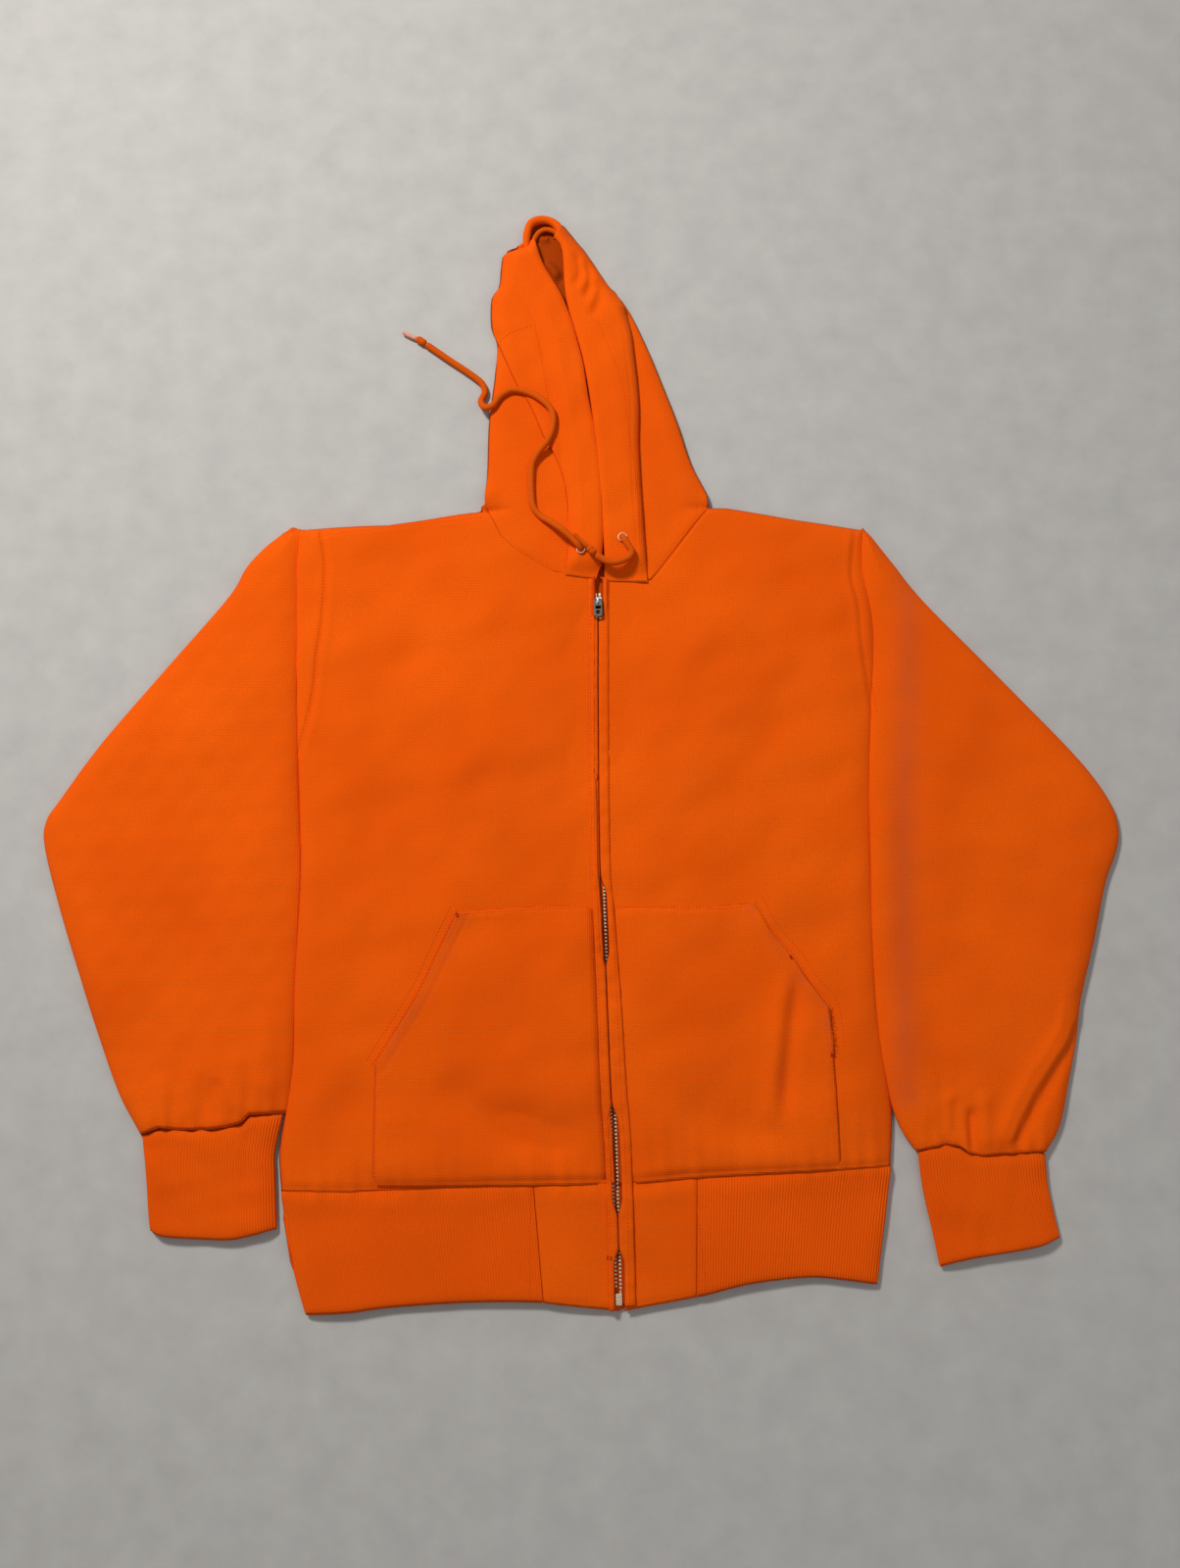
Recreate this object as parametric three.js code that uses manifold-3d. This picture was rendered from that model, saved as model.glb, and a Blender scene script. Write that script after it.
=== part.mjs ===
// Blaze orange full-zip hooded sweatshirt, laid front up on a flat surface.
// Millimetres, +Z up, +Y towards the hood, +X towards the wearer's left.
import * as THREE from "three";
import { mergeVertices } from "three/addons/utils/BufferGeometryUtils.js";
import Module from "manifold-3d";

const wasm = await Module();
wasm.setup();

// ---- driving dimensions ------------------------------------------------------------
const CENTRE_X = -0.28; // shift that puts the middle of the garment on the frame's origin
const CENTRE_Y = 3;
const GAP = 0.3; // between two pieces that touch
const PLY = 3; // one layer of brushed fleece, lying relaxed
const INSIDE_Z = 3; // floor of the flat space between the back and the front
const FRONT_Z = 6.3; // underside of the front layer
const FRONT_TOP = FRONT_Z + PLY;
const OVER_Z = FRONT_TOP + GAP; // pockets, zip facings and hood hems lie on the front layer
const POCKET_TOP = OVER_Z + PLY;
const FACING_TOP = OVER_Z + 2.4;
const SLEEVE_TOP = 15.5;
const CUFF_TOP = 12;
const RIM = 3.5; // width of the turned side edge of a flat tube

const FOLD_RIGHT_X = -261; // lines about which the sleeves fold onto the chest
const FOLD_LEFT_X = 264;

const CHAIN_TOP = [14.5, 122]; // top of the zip chain
const CHAIN_LEAN = Math.atan2(17.5, 630); // the chain leans to the wearer's left on its way down
const TOOTH_PITCH = 3.2;
const TOOTH_COUNT = 192;
const TOOTH_LOW = 4.6;
const TOOTH_HIGH = 6.6;
const TIP_X = 0.8; // tooth tips, measured from the chain's centre line
const ROOT_X = 2.0;
const SPINE_X = 3.0;
const TAPE_WIDTH = 12;
const TAPE_LOW = 5.2;
const TAPE_HIGH = 6.0;
const CHANNEL = 5; // half width kept free of fleece for the slider
const SLIT = 1.4; // half width of the slit between the two facings
const FACING_WIDTH = 12;
const ZIP_LENGTH = 630;

const SLIDER_HALF = 4;
const SLIDER_LENGTH = 11;
const PLATE = 1.1;
const PULL_Z = 13.2; // axis of the pull
const PULL_THICK = 1.5;
const PULL_LENGTH = 17;

const CORD_D = 6.2; // free ends
const CORD_RUN_D = 5.6; // squeezed inside the tunnels
const HEM_WIDTH = 30;
const HEM_TOP = 20.2;
const HEM_WALL = 2;
const EYELET_D = 8.6;
const EYELET_BORE = 6.2;

// ---- materials ---------------------------------------------------------------------
const matter = (color, roughness, metalness = 0) => () =>
  new THREE.MeshStandardMaterial({ color, roughness, metalness });
const fleece = matter(0xe85a08, 0.95);
const rib = matter(0xdc5206, 0.9);
const tape = matter(0xc94d0a, 0.85);
const cordage = matter(0xdb4f04, 0.9);
const brass = matter(0xb9925a, 0.35, 1);
const nickel = matter(0xc9c6c0, 0.3, 1);
const gunmetal = matter(0x5a5753, 0.4, 1);

// ---- helpers -----------------------------------------------------------------------
const group = new THREE.Group();
group.name = "blaze_orange_hooded_sweatshirt";

function add(name, geometry, material) {
  const mesh = new THREE.Mesh(geometry, material());
  mesh.name = name;
  mesh.geometry.translate(CENTRE_X, CENTRE_Y, 0);
  group.add(mesh);
}

const shapeOf = (points) => new THREE.Shape(points.map(([x, y]) => new THREE.Vector2(x, y)));

// Flat layer with the given outline between two heights.
function slab(points, low, high) {
  const geometry = new THREE.ExtrudeGeometry(shapeOf(points), { depth: high - low, bevelEnabled: false });
  geometry.translate(0, 0, low);
  return geometry;
}

function box(x0, x1, y0, y1, z0, z1) {
  return slab([[x0, y0], [x1, y0], [x1, y1], [x0, y1]], z0, z1);
}

// Smooth run through a few points, each stretch cut into equal steps.
function run(points, steps = 3) {
  const curve = new THREE.SplineCurve(points.map(([x, y]) => new THREE.Vector2(x, y)));
  return curve.getPoints((points.length - 1) * steps).map((p) => [p.x, p.y]);
}

const solid = (geometry) => {
  const clean = geometry.index ? geometry.toNonIndexed() : geometry.clone();
  clean.deleteAttribute("normal");
  clean.deleteAttribute("uv");
  const merged = mergeVertices(clean, 1e-4);
  return new wasm.Manifold(
    new wasm.Mesh({
      numProp: 3,
      vertProperties: new Float32Array(merged.attributes.position.array),
      triVerts: new Uint32Array(merged.index.array),
    }),
  );
};

const geometryOf = (body) => {
  const mesh = body.getMesh();
  const geometry = new THREE.BufferGeometry();
  geometry.setAttribute("position", new THREE.BufferAttribute(mesh.vertProperties, 3));
  geometry.setIndex(new THREE.BufferAttribute(mesh.triVerts, 1));
  geometry.computeVertexNormals();
  return geometry;
};

const cut = (from, ...tools) =>
  geometryOf(tools.reduce((left, tool) => left.subtract(solid(tool)), solid(from)));
const keep = (from, tool) => geometryOf(solid(from).intersect(solid(tool)));
const join = (...pieces) => geometryOf(pieces.map(solid).reduce((whole, next) => whole.add(next)));

// Round tube along a smooth free route.
function tube(route, diameter, sides, steps) {
  const section = Array.from({ length: sides }, (_, i) => {
    const a = (2 * Math.PI * i) / sides;
    return [(diameter / 2) * Math.cos(a), (diameter / 2) * Math.sin(a)];
  });
  const extrudePath = new THREE.CatmullRomCurve3(route.map((p) => new THREE.Vector3(...p)));
  return new THREE.ExtrudeGeometry(shapeOf(section), { steps, extrudePath, bevelEnabled: false });
}

// From the zip's own frame (chain running down -Y from its top end) to the garment's.
function onChain(geometry) {
  geometry.rotateZ(CHAIN_LEAN);
  geometry.translate(CHAIN_TOP[0], CHAIN_TOP[1], 0);
  return geometry;
}
const chainSlab = (points, low, high) => onChain(slab(points, low, high));
const chainBox = (...sides) => onChain(box(...sides));

// ---- outlines ----------------------------------------------------------------------
const shoulderLine = [[-92, 213], [-150, 206], [-240, 190], [-260.7, 187]];
const rightSide = [[-260.7, -346], [-263, -380], [-262, -408]];
const bodyHem = [[-134, -406.5], [28, -402], [95, -396], [183, -393], [264, -388]];
const leftSide = [[271, -352], [268, -310], [263.7, -290], [263.7, 187]];
const leftShoulder = [[204, 198], [142, 208], [118, 209]];
const neckline = [
  [118, 209], [68, 142], [61, 137], [12, 139], [-25, 141], [-49, 159], [-78, 182], [-92, 213],
];
const opening = run([[-37, 510], [-18, 425], [0, 359], [10, 290], [18, 235], [20, 190], [16, 139]], 2);
const hoodRightEdge = run(
  [[-92, 213], [-90, 250], [-88, 300], [-84, 343], [-82, 376], [-88, 400], [-87, 428], [-79, 458]], 2,
).concat([[-76, 471], [-54, 479], [-53, 502], [-46, 509]]);
const hoodLeftEdge = run(
  [[-24, 506], [3, 473], [24, 440], [43, 415], [61, 376], [76, 337], [91, 295], [103, 256], [118, 209]], 2,
);

// ---- body --------------------------------------------------------------------------
const frontOutline = [...shoulderLine, ...rightSide, ...bodyHem, ...leftSide, ...leftShoulder];
const withNeck = [...frontOutline, ...neckline.slice(1, -1)];
const insideOutline = [
  [-88, 400], [-236, 400], [-257.5, 184], [-257.5, 30], [-257.5, -346], [-259, -500],
  [261, -500], [264, -345], [260, -290], [260, 184], [240, 400],
];
add(
  "back_panel",
  cut(
    slab(frontOutline, 0, FRONT_Z - GAP),
    slab(insideOutline, INSIDE_Z, FRONT_Z + 1),
    box(-300, 300, -20, 176, INSIDE_Z, FRONT_Z + 1),
  ),
  fleece,
);
const RIGHT_OF_CHAIN = [[-400, 300], [-CHANNEL, 300], [-CHANNEL, -700], [-400, -700]];
const LEFT_OF_CHAIN = [[400, 300], [CHANNEL, 300], [CHANNEL, -700], [400, -700]];
const front = slab(withNeck, FRONT_Z, FRONT_TOP);
add("right_front_panel", keep(front, chainSlab(RIGHT_OF_CHAIN, 0, 30)), fleece);
add("left_front_panel", keep(front, chainSlab(LEFT_OF_CHAIN, 0, 30)), fleece);

const pocketRight = [
  [-110, -171], [80, -165], [80, -402], [-60, -404], [-181, -408], [-181, -307], [-146, -249],
];
const pocketLeft = [
  [-80, -168], [154, -164], [190, -213], [221, -262], [225, -390], [95, -396.5], [-80, -400],
];
const BESIDE = FACING_WIDTH + GAP;
add(
  "right_pocket",
  keep(
    slab(pocketRight, OVER_Z, POCKET_TOP),
    chainSlab([[-400, 0], [-BESIDE, 0], [-BESIDE, -700], [-400, -700]], 0, 30),
  ),
  fleece,
);
add(
  "left_pocket",
  keep(
    slab(pocketLeft, OVER_Z, POCKET_TOP),
    chainSlab([[400, 0], [BESIDE, 0], [BESIDE, -700], [400, -700]], 0, 30),
  ),
  fleece,
);

// ---- waistband ---------------------------------------------------------------------
const bandTop = [[-258, -408.4], [-134, -406.9], [28, -402.4], [95, -396.4], [183, -393.4], [262, -388.6]];
const bandBottom = run([[254, -490], [195, -485], [146, -490], [104, -500], [36, -509]], 2).concat(
  run([[28, -510], [-49, -504], [-110, -506], [-167, -510], [-234, -516]], 2),
);
const bandOutline = [...bandTop, ...bandBottom];
const insetSpan = [[-46, -350], [100, -350], [106, -560], [-49, -560]];
const widerSpan = insetSpan.map(([x, y]) => [x < 0 ? x - GAP : x + GAP, y]);
add(
  "waistband_rib",
  cut(
    slab(bandOutline, 0, FRONT_TOP),
    slab([[-254, -380], [258, -360], [250, -560], [-230, -560]], INSIDE_Z, FRONT_Z),
    slab(widerSpan, INSIDE_Z, FRONT_TOP + 1),
  ),
  rib,
);
const inset = keep(slab(bandOutline, FRONT_Z, FRONT_TOP), slab(insetSpan, 0, 30));
add("right_waistband_inset", keep(inset, chainSlab(RIGHT_OF_CHAIN, 0, 30)), fleece);
add("left_waistband_inset", keep(inset, chainSlab(LEFT_OF_CHAIN, 0, 30)), fleece);

// ---- zip facings: the slit opens at the slider and where the chain shows -------------
function facing(side) {
  const bulge = (from, to, half) => [[SLIT, from], [half, from - 12], [half, to + 12], [SLIT, to]];
  const inner = [
    [4.6, 14], [4.6, -13], [SLIT, -18], ...bulge(-258, -350, 3.6), ...bulge(-460, -560, 3.6), [SLIT, -627],
  ];
  const outline = [...inner, [FACING_WIDTH, -627], [FACING_WIDTH, 14]];
  return chainSlab(outline.map(([x, y]) => [side * x, y]), OVER_Z, FACING_TOP);
}
add("right_zip_facing", facing(-1), fleece);
add("left_zip_facing", facing(1), fleece);

// ---- sleeves and cuffs ---------------------------------------------------------------
const sleeveRight = [
  [FOLD_RIGHT_X - GAP, 188],
  ...run([[-284, 184], [-316, 151], [-333, 120], [-393, 45], [-443, -19], [-476, -69], [-489, -98]], 2),
  ...run([[-485, -123], [-469, -172], [-447, -232], [-427, -284], [-407, -331], [-387, -365]], 2),
  [-367, -360], [-307, -358], [-293, -349], [FOLD_RIGHT_X - GAP, -348],
];
const sleeveRightInside = [
  [-255, 172], [-284, 166], [-325, 118], [-434, -22], [-480, -97], [-461, -172], [-418, -284], [-376, -380],
  [-272, -380], [-268, -30], [-255, -24],
];
const sleeveLeft = [
  [FOLD_LEFT_X + GAP, 187],
  ...run([[274, 174], [292, 153], [334, 101], [403, 27], [453, -29], [486, -78], [489, -101]], 2),
  ...run([[473, -145], [459, -198], [444, -250], [430, -317], [406, -380]], 2),
  [392, -377], [348, -383], [318, -373], [292, -378],
  [281, -363], [272.5, -350], [268.5, -310], [FOLD_LEFT_X + GAP, -290],
];
const sleeveLeftInside = [
  [258, 172], [272, 160], [328, 98], [445, -28], [480, -97], [450, -198], [421, -317], [395, -400],
  [300, -400], [284, -355], [271, -300], [271, -30], [258, -24],
];
const sleeve = (outline, inside) =>
  cut(slab(outline, 0, SLEEVE_TOP), slab(inside, INSIDE_Z, FRONT_Z));
add("right_sleeve", sleeve(sleeveRight, sleeveRightInside), fleece);
add("left_sleeve", sleeve(sleeveLeft, sleeveLeftInside), fleece);

const cuffRight = [
  [-383, -365.6], [-367, -360.5], [-307, -358.5], [-293, -349.5], [-265, -349], [-267, -401], [-264, -444],
  ...run([[-275, -450], [-305, -454], [-339, -453], [-362, -450], [-373, -444]], 2), [-378, -401],
];
const cuffLeft = [
  [295, -379], [318, -373.5], [348, -383.5], [392, -377.5], [403, -380],
  [405, -407], [411, -440], [412, -452],
  ...run([[395, -459], [370, -464], [333, -470], [309, -475]], 2), [304, -448], [297, -412],
];
const cuff = (outline, inside) => cut(slab(outline, 0, CUFF_TOP), slab(inside, INSIDE_Z, FRONT_Z));
add("right_cuff", cuff(cuffRight, [[-376, -340], [-271, -340], [-270, -470], [-368, -470]]), rib);
add("left_cuff", cuff(cuffLeft, [[301, -360], [399, -360], [405, -480], [314, -490]]), rib);

// ---- hood ----------------------------------------------------------------------------
const BACK_NECK_Y = 213.5;
const hoodHalf = (outline, inside) =>
  join(
    slab(outline, FRONT_Z, FRONT_TOP),
    cut(
      keep(slab(outline, 0, FRONT_Z + 1), box(-400, 400, BACK_NECK_Y, 700, 0, 30)),
      slab(inside, INSIDE_Z, FRONT_Z),
    ),
  );
const necklineLeft = [[61, 137.4], [68, 142.4], [118, 209.4]];
const necklineRight = [[-92, 213.4], [-78, 182.4], [-49, 159.4], [-25, 141.4]];
const openingRight = opening.map(([x, y]) => [x - GAP / 2, y]);
const openingLeft = opening.map(([x, y]) => [x + GAP / 2, y]).reverse();
openingRight[openingRight.length - 1][1] = 139.4;
openingLeft[0][1] = 139.2;
const hoodRight = [...hoodRightEdge.slice(1), ...openingRight, ...necklineRight.slice().reverse()];
const hoodLeft = [...openingLeft, ...hoodLeftEdge.slice(0, -1), ...necklineLeft.slice().reverse()];
add(
  "hood_right_panel",
  hoodHalf(hoodRight, [
    [-86, 190], [-84, 300], [-79, 376], [-84, 400], [-83, 430], [-74, 464], [-50, 474],
    [-49, 500], [80, 500], [80, 190],
  ]),
  fleece,
);
add(
  "hood_left_panel",
  hoodHalf(hoodLeft, [
    [-80, 190], [-80, 495], [-26, 500], [0, 466], [39, 412], [72, 334], [98, 256], [114, 205],
  ]),
  fleece,
);

// Hems: flat tunnels round the face opening, with the drawcord running inside.
const HEM_MID = (OVER_Z + HEM_TOP) / 2;
function hem(side) {
  const route = [[-33, 474], [-20, 425], [-1, 359], [9, 290], [16, 235], [18, 190], [15, 146]];
  const middle = route.map(([x, y]) => new THREE.Vector3(x + side * (HEM_WIDTH / 2 + 1), y, HEM_MID));
  const half = (HEM_TOP - OVER_Z) / 2;
  const oval = (reach, rise) =>
    Array.from({ length: 16 }, (_, i) => {
      const a = (2 * Math.PI * i) / 16;
      const squared = (v) => Math.sign(v) * Math.sqrt(Math.abs(v));
      return [rise * squared(Math.cos(a)), reach * squared(Math.sin(a))];
    });
  const section = shapeOf(oval(HEM_WIDTH / 2, half));
  section.holes.push(shapeOf(oval(HEM_WIDTH / 2 - HEM_WALL, half - HEM_WALL)));
  const extrudePath = new THREE.CatmullRomCurve3(middle);
  return new THREE.ExtrudeGeometry(section, { steps: 16, extrudePath, bevelEnabled: false });
}
const RIGHT_EYELET = [-1.3, 164.5];
const LEFT_EYELET = [37.5, 176];
const punch = ([x, y]) => {
  const tool = new THREE.CylinderGeometry((EYELET_D + 2 * GAP) / 2, (EYELET_D + 2 * GAP) / 2, 8, 16);
  tool.rotateX(Math.PI / 2);
  tool.translate(x, y, HEM_TOP);
  return tool;
};
add("right_hood_hem", cut(hem(-1), punch(RIGHT_EYELET)), fleece);
add("left_hood_hem", cut(hem(1), punch(LEFT_EYELET)), fleece);

function eyelet([x, y]) {
  const out = EYELET_D / 2;
  const bore = EYELET_BORE / 2;
  const profile = [
    [bore, -1.8], [out - 0.3, -1.8], [out, -1.2], [out, 0.4], [out - 0.4, 0.9],
    [bore + 0.3, 0.9], [bore, 0.5],
  ];
  const ring = new THREE.LatheGeometry([...profile, profile[0]].map((p) => new THREE.Vector2(...p)), 20);
  ring.rotateX(Math.PI / 2);
  ring.translate(x, y, HEM_TOP);
  return ring;
}
add("right_eyelet", eyelet(RIGHT_EYELET), brass);
add("left_eyelet", eyelet(LEFT_EYELET), brass);

// ---- drawcord: one cord, its middle in the tunnels and its two ends free ---------------
const channelRoute = [
  [2, 176], [2, 190], [0, 235], [-7, 290], [-17, 359], [-36, 425], [-49, 474], [-47, 488], [-40, 496],
  [-31, 496], [-20, 488], [-17, 474], [-4, 425], [15, 359], [25, 290], [32, 235], [34, 190],
].map(([x, y]) => [x, y, HEM_MID]);
add("drawcord_channel_run", tube(channelRoute, CORD_RUN_D, 8, 40), cordage);

const LONG_END = [
  [-1.3, 164.5, 24.2], [-9.5, 173.5, 24.2], [-20, 183, 23.8], [-30, 192, 18], [-39, 199, 13.4],
  [-46, 208, 12.9], [-48, 221, 12.9], [-48.5, 236, 12.9], [-47.5, 251, 12.9], [-42, 262, 13.6],
  [-33, 273, 16], [-28, 288, 16.4], [-29, 303, 16.4], [-38, 314, 16.2], [-52, 323, 14], [-67, 326, 12.9],
  [-78, 320, 12.9], [-86, 310, 12.9], [-93.5, 309, 11.4], [-97.5, 318, 5.2], [-94, 328, 3.5],
  [-97, 337, 3.4], [-106, 345, 3.4], [-117, 353, 3.4], [-130, 362, 3.4], [-143, 371.5, 3.4],
  [-152, 378, 3.5],
];
const SHORT_END = [
  [37.5, 176, 24.2], [42.5, 167, 24.2], [46, 160.5, 23.9], [43, 155, 23.7], [33.4, 150.8, 23.7],
  [24, 151, 23.8], [16.5, 155, 24], [12.6, 158, 24.2],
];
add("right_drawcord_end", tube(LONG_END, CORD_D, 8, 54), cordage);
add("left_drawcord_end", tube(SHORT_END, CORD_D, 8, 14), cordage);

// Knot and sealed tip at each free end.
function knot([x, y, z], heading, radius) {
  const ball = new THREE.IcosahedronGeometry(radius, 1);
  ball.scale(1.15, 1, 0.9);
  ball.rotateZ(heading);
  ball.translate(x, y, z);
  return ball;
}
function cordTip([x, y, z], heading, pitch, length, wide, narrow) {
  const tip = new THREE.CylinderGeometry(narrow / 2, wide / 2, length, 10);
  tip.rotateZ(-Math.PI / 2);
  tip.translate(length / 2, 0, 0);
  tip.rotateY(-pitch);
  tip.rotateZ(heading);
  tip.translate(x, y, z);
  return tip;
}
add("right_knot", knot([-156.6, 381.2, 3.9], 2.53, 3.7), cordage);
add("right_cord_tip", cordTip([-160.8, 383.8, 3.4], 2.7, 0, 16, 4.2, 3.4), cordage);
add("left_knot", knot([8.6, 161.4, 24.6], 2.4, 3.6), cordage);
add("left_cord_tip", cordTip([5.2, 164.8, 25.6], 2.37, 0.13, 18, 4.2, 3.4), cordage);

// ---- zip -----------------------------------------------------------------------------
function teeth(side) {
  const offset = side > 0 ? TOOTH_PITCH / 2 : 0;
  const tips = [];
  for (let i = 0; i < TOOTH_COUNT; i++) {
    const y = -3.2 - offset - i * TOOTH_PITCH;
    tips.push([ROOT_X, y + 0.95], [TIP_X, y + 0.7], [TIP_X, y - 0.7], [ROOT_X, y - 0.95]);
  }
  const outline = [[SPINE_X, -1.2], [ROOT_X, -1.2], ...tips, [ROOT_X, -617.6], [SPINE_X, -617.6]];
  return chainSlab(outline.map(([x, y]) => [side * x, y]), TOOTH_LOW, TOOTH_HIGH);
}
add("right_zip_teeth", teeth(-1), brass);
add("left_zip_teeth", teeth(1), brass);

for (const [name, side] of [["right", -1], ["left", 1]]) {
  const inner = side * (SPINE_X + GAP);
  const outer = side * (SPINE_X + GAP + TAPE_WIDTH);
  const [x0, x1] = inner < outer ? [inner, outer] : [outer, inner];
  add(`${name}_zip_tape`, chainBox(x0, x1, -ZIP_LENGTH, 14, TAPE_LOW, TAPE_HIGH), tape);
  const [s0, s1] = side < 0 ? [-SPINE_X, -TIP_X] : [TIP_X, SPINE_X];
  add(`${name}_top_stop`, chainBox(s0, s1, 0.3, 3.6, TOOTH_LOW, 7.8), brass);
}
const PIN = [1.2, 2.7];
add(
  "zip_box",
  cut(
    chainBox(-3, 3, -ZIP_LENGTH, -620.5, 3.6, 7.8),
    chainBox(PIN[0] - GAP, PIN[1] + GAP, -628.5, -600, TOOTH_LOW, TOOTH_HIGH),
  ),
  brass,
);
add("zip_pin", chainBox(PIN[0], PIN[1], -628, -617.9, TOOTH_LOW + GAP, TOOTH_HIGH - GAP), brass);

// Slider: two plates with turned side walls, joined by the wedge that parts the teeth,
// and an arched lug on top that holds the pull's cross bar.
const PLATE_LOW = TOOTH_LOW - GAP;
const PLATE_HIGH = TOOTH_HIGH + GAP;
const plateOutline = [
  [-3.4, 0], [3.4, 0], [SLIDER_HALF, -1.5], [SLIDER_HALF, -8], [3.5, -SLIDER_LENGTH], [-3.5, -SLIDER_LENGTH],
  [-SLIDER_HALF, -8], [-SLIDER_HALF, -1.5],
];
const wall = (side, low, high) =>
  box(...(side < 0 ? [-SLIDER_HALF, -SPINE_X - GAP] : [SPINE_X + GAP, SLIDER_HALF]), -8, -1.5, low, high);
const lugOutline = [
  [-8.4, 7.5], [-8.4, 12], [-7.4, 14.6], [-6.2, 15.4], [-3.8, 15.4], [-2.6, 14.6], [-1.6, 12], [-1.6, 7.5],
];
const lugHole = [[-6.2, 11.6], [-3.8, 11.6], [-3.8, 14.4], [-6.2, 14.4]];
function lug() {
  const arch = shapeOf(lugOutline);
  arch.holes.push(shapeOf(lugHole));
  const body = new THREE.ExtrudeGeometry(arch, { depth: 2, bevelEnabled: false });
  body.rotateX(Math.PI / 2);
  body.rotateZ(Math.PI / 2);
  body.translate(-1, 0, 0);
  return body;
}
add(
  "zip_slider",
  onChain(
    join(
      slab(plateOutline, PLATE_LOW - PLATE, PLATE_LOW),
      slab(plateOutline, PLATE_HIGH, PLATE_HIGH + PLATE),
      box(-0.5, 0.5, -3.2, -1.2, PLATE_LOW - 0.5, PLATE_HIGH + 0.5),
      wall(-1, PLATE_LOW - 0.5, TAPE_LOW - GAP),
      wall(1, PLATE_LOW - 0.5, TAPE_LOW - GAP),
      wall(-1, TAPE_HIGH + GAP, PLATE_HIGH + 0.5),
      wall(1, TAPE_HIGH + GAP, PLATE_HIGH + 0.5),
      lug(),
    ),
  ),
  nickel,
);

// Pull: flat tab with a window round the lug and a round cross bar through it.
function pull() {
  const low = PULL_Z - PULL_THICK / 2;
  const outline = [
    [-3.4, -3.6], [3.4, -3.6], [4, -4.4], [4, -5 - PULL_LENGTH + 2.4], [2.6, -5 - PULL_LENGTH + 1],
    [-2.6, -5 - PULL_LENGTH + 1], [-4, -5 - PULL_LENGTH + 2.4], [-4, -4.4],
  ];
  const bar = new THREE.CylinderGeometry(0.75, 0.75, 6, 16);
  bar.rotateZ(Math.PI / 2);
  bar.translate(0, -5, PULL_Z);
  return join(
    cut(
      slab(outline, low, low + PULL_THICK),
      box(-1.5, 1.5, -9, 0, low - 1, low + PULL_THICK + 1),
      box(-1.9, 1.9, -18, -15, low - 1, low + PULL_THICK + 1),
    ),
    bar,
  );
}
add("zip_pull", onChain(pull()), gunmetal);

export default group;
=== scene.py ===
import math

import bpy
import numpy as np
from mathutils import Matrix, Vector
from mathutils.bvhtree import BVHTree


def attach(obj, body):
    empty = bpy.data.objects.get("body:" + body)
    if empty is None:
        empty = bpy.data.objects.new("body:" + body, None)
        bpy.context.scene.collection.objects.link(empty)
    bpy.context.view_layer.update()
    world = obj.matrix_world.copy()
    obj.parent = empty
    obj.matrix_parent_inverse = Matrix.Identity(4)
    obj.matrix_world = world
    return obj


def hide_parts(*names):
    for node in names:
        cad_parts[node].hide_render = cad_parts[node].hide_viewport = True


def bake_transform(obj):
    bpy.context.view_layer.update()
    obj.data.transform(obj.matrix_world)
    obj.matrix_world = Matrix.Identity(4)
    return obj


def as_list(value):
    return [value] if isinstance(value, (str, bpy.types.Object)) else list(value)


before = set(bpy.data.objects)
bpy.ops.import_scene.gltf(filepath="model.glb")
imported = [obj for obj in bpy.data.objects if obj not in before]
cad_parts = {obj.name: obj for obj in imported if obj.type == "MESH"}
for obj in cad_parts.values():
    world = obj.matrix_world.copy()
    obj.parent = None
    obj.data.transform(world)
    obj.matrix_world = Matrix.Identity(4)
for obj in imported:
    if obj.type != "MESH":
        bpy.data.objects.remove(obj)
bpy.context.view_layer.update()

# All sizes below are millimetres on the garment: x to the wearer's left, y toward the
# hood, z up from the floor. put() turns them into metres in the CAD frame.
CENTRE = np.array([-0.28, 3.0, 0.0])
FLEECE = 2.3  # cloth thickness
RIBBED = 2.6  # thickness of the rib knit
RIB_PITCH = 2.5
MID = 4.5  # height of the side folds above the floor


def put(p):
    """Millimetres on the garment to metres in the CAD frame."""
    return (np.asarray(p, float) + CENTRE) * 0.001


def point(x, y, z):
    return tuple(put([x, y, z]))


# ---- camera and lights ---------------------------------------------------------------
TILT = math.radians(9.5)
camera = bpy.data.objects.new("camera", bpy.data.cameras.new("camera"))
camera.data.lens = 30
camera.data.sensor_width = 36
camera.location = (0.0070, -0.2492, 1.1835)
camera.rotation_euler = (TILT, 0, 0)
bpy.context.scene.collection.objects.link(camera)
bpy.context.scene.camera = camera
bpy.context.scene.view_settings.view_transform = "Standard"


def area_light(name, where, aim, size, power, colour=(1, 1, 1)):
    data = bpy.data.lights.new(name, "AREA")
    data.size = size
    data.energy = power
    data.color = colour
    obj = bpy.data.objects.new(name, data)
    obj.location = where
    obj.rotation_euler = (Vector(aim) - Vector(where)).to_track_quat("-Z", "Y").to_euler()
    bpy.context.scene.collection.objects.link(obj)


area_light("key_light", (-0.95, 1.15, 1.75), (0, 0.0, 0), 0.34, 40, (1.0, 0.97, 0.93))
area_light("fill_light", (1.6, -0.6, 2.4), (0, 0, 0), 2.2, 8, (0.97, 0.98, 1.0))
world = bpy.data.worlds.new("world")
bpy.context.scene.world = world
world.use_nodes = True
world.node_tree.nodes["Background"].inputs["Color"].default_value = (1, 1, 1, 1)
world.node_tree.nodes["Background"].inputs["Strength"].default_value = 0.26


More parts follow.
